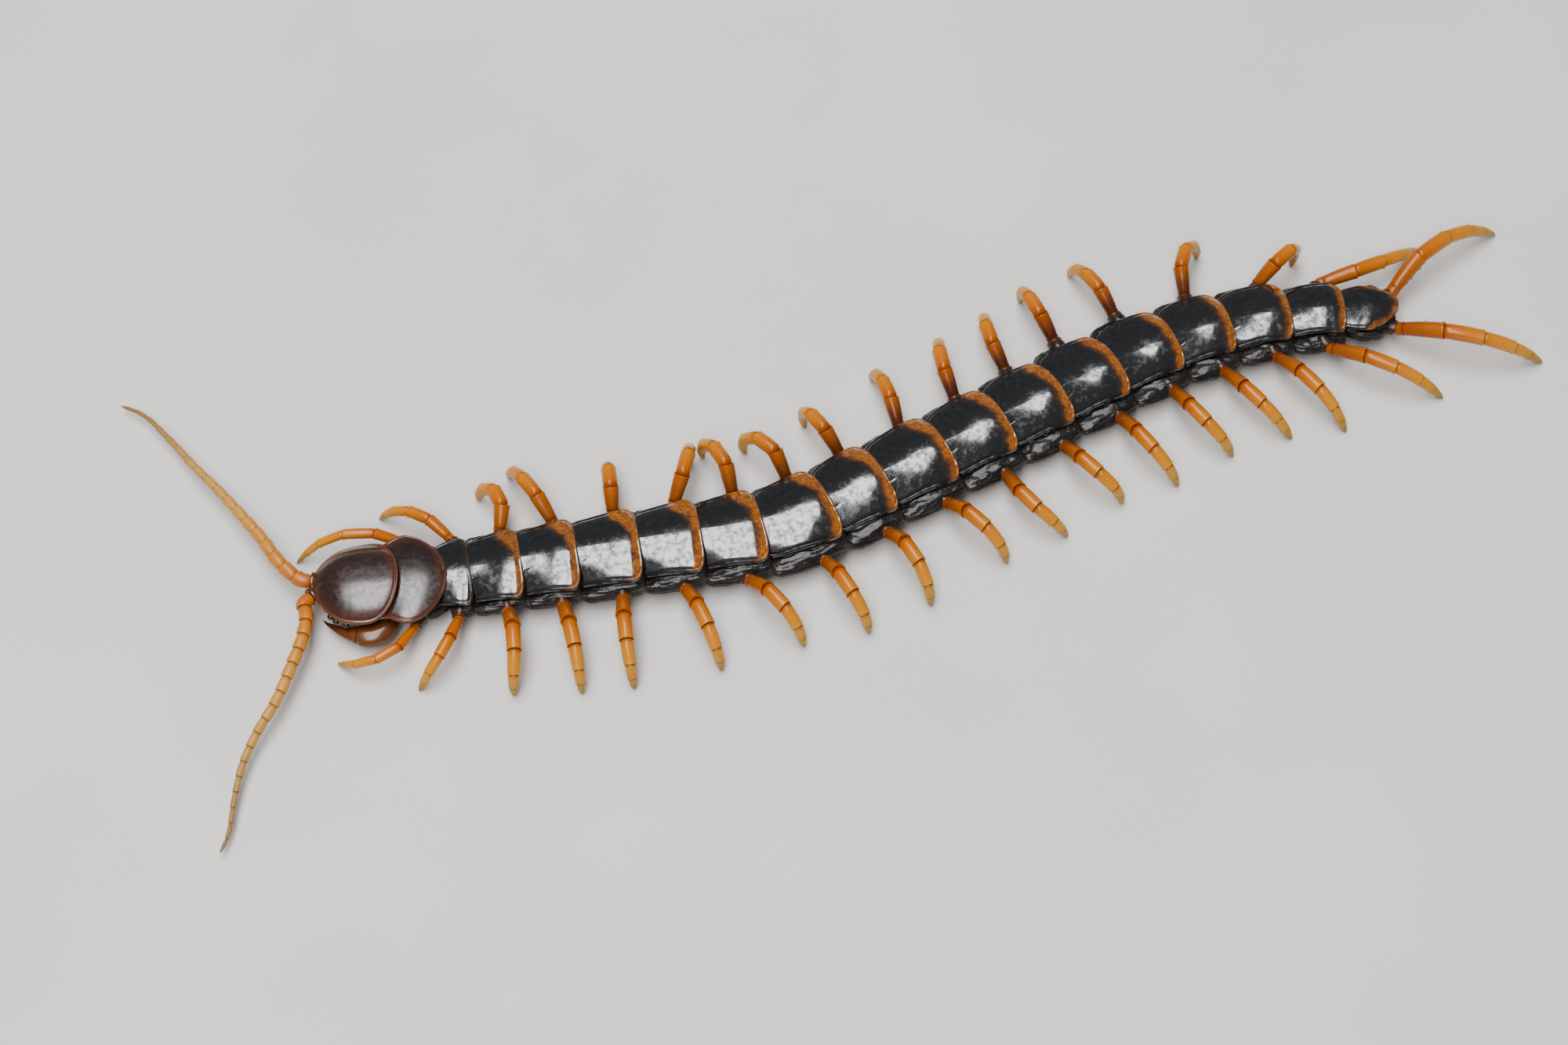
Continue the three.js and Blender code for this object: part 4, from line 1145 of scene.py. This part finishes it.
def bulge_at(i, share):
    rows = plate_shares(i)
    return SIDE_BULGES[i] * np.interp(share, [row[0] for row in rows], [row[3] for row in rows])


def root_side(i, legs):
    """Distance of a leg's root from the middle of the body."""
    if i == 0 or i == SEGMENTS - 1:
        return FIRST_LEG_ROOT_SIDE if i == 0 else LAST_STUB_SIDE
    along = legs["along"][i]
    wider = widening_factor(i, along) if legs["side"] > 0 else 1
    return (PLATE_HALF_WIDTHS[i] + bulge_at(i, along)) * wider + STUB_REACH


def leg_root(i, legs):
    station = leg_station(i, legs)
    sweep = LAST_STUB_SWEEP if i == SEGMENTS - 1 else legs["sweep"][i] * STUB_SHARE_OF_SWEEP
    centre = place(station, legs["side"] * root_side(i, legs), root_height(i))
    return centre, sideways(station, legs["side"], sweep)


def leg_joints(i, legs):
    centre, direction = leg_root(i, legs)
    lengths = np.array(LEG_PIECES) * legs["length"][i]
    slopes = leg_slopes(lengths, legs["reach"][i], root_height(i))
    joints = [centre + direction * GAP]
    for k, slope in enumerate(slopes):
        sweep = legs["sweep"][i] + legs["curl"][i] * (LEG_BEND_REACHED[k] - 0.5)
        step = sideways(leg_station(i, legs), legs["side"], sweep) * math.cos(slope)
        joints.append(joints[-1] + (step + np.array([0, 0, math.sin(slope)])) * lengths[k])
    return joints


def leg(i, legs, name):
    """The hard pieces of a leg with their spines, and its claw."""
    joints = leg_joints(i, legs)
    girth = LEG_GIRTH_SCALES[i]
    tone = legs["root_tone"][i]
    marks = np.concatenate([[0], np.cumsum(LEG_PIECES)]) / sum(LEG_PIECES)
    form = Form()
    for k, arch in enumerate(LEG_ARCHES):
        start, end = (radius * girth for radius in LEG_RADII[k])
        add_article(form, joints[k], joints[k + 1], start, end, arch=arch, along=marks[k:k + 2], tone=tone)
    for k, size in LEG_SPINES:
        axis = unit(joints[k + 1] - joints[k])
        level, up = cross_axes(axis)
        radius = LEG_RADII[k][1] * girth
        for way in (-1, 1):
            out = unit(level * way * 0.8 - up * 0.6)
            root = joints[k + 1] + out * radius * 0.93 - axis * 0.15
            add_spike(form, root, unit(out * 0.8 + axis * 0.8), size, 0.11, along=0.8, tone=tone)
    if i == SEGMENTS - 1:
        add_thigh_spines(form, joints, girth, legs["side"], tone)
    node = numbered(f"leg_{name}", i)
    form.piece(numbered(f"leg_articles_{name}", i), LEG, "leg", [node])
    rings = leg_claw_rings(joints[6], joints[7], LEG_RADII[6][0] * girth)
    claw = Form()
    claw.loft(rings, along=np.linspace(0.93, 1, len(rings))[:, None], joint=0.0, tone=tone)
    claw.piece(numbered(f"leg_claw_{name}", i), LEG, "leg", [node])


def leg_claw_rings(root, tip, start):
    """Rings of the pointed last piece of a leg, kept above the floor."""
    axis = unit(tip - root)
    upright = cross_axes(axis)[1]
    rings = []
    for share in (-0.25, 0, 0.12, 0.3, 0.5, 0.7, 0.85, 0.95, 1.0):
        radius = start * (0.8 if share < 0 else max(0.1, (1 - share) ** 0.75))
        lift = upright * 0.12 * math.sin(math.pi * max(0, share))
        rings.append(ring_round(mix(root, tip, share) + lift, axis, radius, 18))
    low = min(ring[:, 2].min() for ring in rings)
    if low < 0:
        lifts = np.linspace(0.2, 1, len(rings))
        rings = [ring - np.array([0, 0, low]) * lift for ring, lift in zip(rings, lifts)]
    return rings


def add_thigh_spines(form, joints, girth, side, tone):
    """Short spines along the inner side of the last legs' thighs."""
    axis = unit(joints[2] - joints[1])
    level, up = cross_axes(axis)
    inner = -side * np.sign(np.dot(level, sideways(LAST_STUB_STATION, 1, 0))) * level
    for share, lean in THIGH_SPINES:
        out = unit(inner + up * lean)
        radius = mix(LEG_RADII[1][0], LEG_RADII[1][1], share) * girth
        root = mix(joints[1], joints[2], share) + out * radius * 0.92
        add_spike(form, root, unit(out + axis * 0.5), 0.55, 0.17, along=0.95, tone=tone)


def coxa(i, legs, name):
    """The short socket that carries a leg, swelling from the side skin."""
    centre, direction = leg_root(i, legs)
    girth = min(1, LEG_GIRTH_SCALES[i] * 1.1)
    steps = [(step, radius * girth) for step, radius, _ in SOCKET]
    brown = np.array([row[2] for row in SOCKET])
    form = Form()
    form.loft(rings_along(centre, direction, steps, 28, 0.94), root=brown[:, None])
    form.piece(numbered(f"coxa_{name}", i), SKIN, "trunk_shell", [numbered("segment", i)])


def half_section(share, i, side_of_body):
    """Control points of the skin at a station: from under the plate down to the belly."""
    half, rim, crown = (float(v) for v in plate_size(i, np.array(share)))
    if i == 0:
        half = mix(half, 5.7, float(smooth_step((share - 0.3) / 0.6)))
    full = PLATE_HALF_WIDTHS[i]
    rows = plate_shares(i) if i in (0, SEGMENTS - 1) else SKIN_SWELL
    bulge = float(table_column(rows, np.array(share), 3))
    if side_of_body > 0 and i not in (0, SEGMENTS - 1):
        bulge = bulge * 0.62
    pinch = ridge(min(share, 1 - share), 0, 0.045)
    side = full + SIDE_BULGES[i] * bulge - 0.35 * pinch - 0.1
    if i == 0:
        side -= 0.9 * max(0, share - 0.6) / 0.4
    middle, shoulder, edge = (
        float(corner_dip(i, np.array(share), side_of_body * u)) for u in (0.5, 0.85, 1.0))
    return np.array([
        (0, crown - 1.0), (half * 0.5, mix(rim, crown, 0.8) - 1.1 - middle),
        (half - 0.75, rim - 0.35 - shoulder),
        (half - 0.25, rim - 0.58 - edge), (half - 0.08, rim - 0.85 - edge),
        (mix(half, side, 0.62), mix(rim - edge, SKIN_SIDE_HEIGHT, 0.5)),
        (side, SKIN_SIDE_HEIGHT), (side - 0.08, 3.5), (side - 0.95, BELLY + 0.75), (side * 0.6, BELLY + 0.12),
        (0, BELLY + 0.08),
    ])


def basis(controls, samples):
    """Weights that turn a row of control points into a smooth row of samples."""
    weights = np.zeros((samples, controls))
    for row, t in enumerate(np.linspace(0, controls - 1, samples)):
        k = min(controls - 2, int(t))
        f = t - k
        parts = (-0.5 * f + f * f - 0.5 * f ** 3, 1 - 2.5 * f * f + 1.5 * f ** 3,
                 0.5 * f + 2 * f * f - 1.5 * f ** 3, -0.5 * f * f + 0.5 * f ** 3)
        for j, part in zip(range(k - 1, k + 3), parts):
            weights[row, min(controls - 1, max(0, j))] += part
    return weights


def skin():
    """The soft skin of the whole trunk, pinched between segments and wrinkled on its sides."""
    weights = basis(11, SKIN_SAMPLES)
    edges = [edge_of(k)[0] for k in range(SEGMENTS + 1)]
    rings, seams = [], []
    for station in np.arange(SKIN_FIRST, SKIN_LAST, SKIN_STEP):
        i = min(SEGMENTS - 1, max(0, int(np.searchsorted(edges, station, side="right")) - 1))
        share = min(1, max(0, (station - edges[i]) / (edges[i + 1] - edges[i])))
        taper = min(1, 0.75 + 0.25 * (station - SKIN_FIRST) / 2, 0.8 + 0.2 * (SKIN_LAST - station) / 3)
        right_half, left_half = (weights @ half_section(share, i, side) for side in (1, -1))
        right = np.concatenate([right_half[:, 0], -left_half[::-1][1:-1, 0]]) * taper
        right = widened(i, share, right)
        z = np.concatenate([right_half[:, 1], left_half[::-1][1:-1, 1]])
        rings.append(np.stack([np.full(len(right), station), right, z], -1))
        seams.append(np.full(len(right), ridge(min(share, 1 - share), 0, 0.05)))
    rings = np.array(rings)
    count = rings.shape[1]
    t = np.arange(count)
    t = np.minimum(t, count - t) / (SKIN_SAMPLES - 1)
    side_weight = smooth_step((t - 0.32) / 0.08) * (1 - smooth_step((t - 0.86) / 0.1))
    turn = np.gradient(rings[:, :, 1:], axis=1)
    normal = np.stack([turn[..., 1], -turn[..., 0]], -1)
    normal /= np.linalg.norm(normal, axis=-1, keepdims=True) + 1e-9
    normal *= np.sign((normal * (rings[:, :, 1:] - [0, SKIN_SIDE_HEIGHT])).sum(-1, keepdims=True))
    flat = place(rings[..., 0], rings[..., 1], rings[..., 2])
    broad = noise_at(flat, 2.6, 1.3)
    waves = noise_at(flat * np.array([0.42, 1, 1]), 0.85, 4.7)
    folds = np.sin(2 * np.pi * (t[None, :] * FOLD_COUNT + 0.7 * broad + 0.35 * waves))
    push = side_weight[None, :] * (FOLD_DEPTH * folds + WAVE_DEPTH * waves + WAVE_DEPTH * broad)
    rings[:, :, 1] += normal[..., 0] * push
    rings[:, :, 2] += normal[..., 1] * push
    form = Form()
    form.loft(place(rings[..., 0], rings[..., 1], rings[..., 2]), seam=np.array(seams) * 0.5)
    segments = [numbered("segment", i) for i in range(SEGMENTS)]
    form.piece("trunk_skin", SKIN, "trunk_shell", segments, crease=80)


def sternite(i):
    """Belly plate with two lengthwise grooves."""
    front, rear = edge_of(i)[0], edge_of(i + 1)[0]
    full = PLATE_HALF_WIDTHS[i] * (0.8 if i == 0 else 1)

    def surface(along, across):
        share = (along + 1) / 2
        narrowing = mix(1, 0.55, share) if i == SEGMENTS - 1 else 1
        half = full * mix(0.56, 0.66, np.sin(np.pi * np.clip(share, 0, 1))) * narrowing
        height = BELLY - 0.02 + 0.45 * np.abs(across) ** 3
        return mix(front + 0.4, rear - 0.3, share), across * half, height

    def margin(distance, along, across):
        groove = ridge(np.abs(across), 0.4, 0.035) * (1 - smooth_step((np.abs(along) - 0.86) / 0.1))
        return ridge(distance, 0.2, 0.15, 0.05) - 0.1 * groove

    def values(distance, along, across):
        return {"edge": distance}

    form = plate_form(surface, margin, values, front_power=7, rear_power=5, thickness=0.3, up=-1, sides=96)
    form.piece(numbered("sternite", i), BELLY_PAINT, "trunk_shell", [numbered("segment", i)])


def camera():
    """The camera of the photo."""
    made = bpy.data.objects.new("camera", bpy.data.cameras.new("camera"))
    made.data.lens = 70
    made.data.sensor_width = 36
    made.data.clip_start, made.data.clip_end = 0.01, 20
    made.location = CAMERA_PLACE
    made.rotation_euler = (CAMERA_TILT, 0, 0)
    bpy.context.scene.collection.objects.link(made)
    bpy.context.scene.camera = made


def area_light(name, place_at, size, power, target):
    light = bpy.data.objects.new(name, bpy.data.lights.new(name, "AREA"))
    light.data.shape = "RECTANGLE"
    light.data.size, light.data.size_y = size
    light.data.energy = power
    light.visible_camera = False
    light.location = place_at
    light.rotation_euler = (Vector(target) - Vector(place_at)).to_track_quat("-Z", "Y").to_euler()
    bpy.context.scene.collection.objects.link(light)


def lights():
    """One distant softbox straight above, which the plates reflect, a weak fill and a dim sky."""
    area_light("overhead_softbox", SOFTBOX_PLACE, SOFTBOX_SIZE, SOFTBOX_POWER, (*SOFTBOX_PLACE[:2], 0.0))
    area_light("front_fill", FILL_PLACE, FILL_SIZE, FILL_POWER, (0, 0, 0))
    bpy.context.scene.view_settings.view_transform = "AgX"
    bpy.context.scene.view_settings.look = "AgX - Medium High Contrast"
    world = bpy.data.worlds.new("studio")
    bpy.context.scene.world = world
    world.use_nodes = True
    sky = world.node_tree.nodes["Background"].inputs
    sky["Color"].default_value = (0.95, 0.96, 1.0, 1)
    sky["Strength"].default_value = 0.19


def floor():
    """The plain ground around the model, which belongs to the stage."""
    mesh = bpy.data.meshes.new("floor")
    corners = [(x * FLOOR_REACH, y * FLOOR_REACH, 0) for x, y in ((-1, -1), (1, -1), (1, 1), (-1, 1))]
    mesh.from_pydata(corners, [], [(0, 1, 2, 3)])
    mesh.materials.append(floor_paint())
    made = bpy.data.objects.new("floor", mesh)
    bpy.context.scene.collection.objects.link(made)


camera()
lights()
head_plate()
head_capsule()
mouthparts()
claw_base()
for side, name in ((-1, "left"), (1, "right")):
    eyes(side, name)
    poison_claw(side, name)
feeler("left", LEFT_FEELER)
feeler("right", RIGHT_FEELER)
skin()
for i in range(SEGMENTS):
    trunk_plate(i)
    sternite(i)
    for legs, name in ((LEFT_LEGS, "left"), (RIGHT_LEGS, "right")):
        coxa(i, legs, name)
        leg(i, legs, name)
floor()
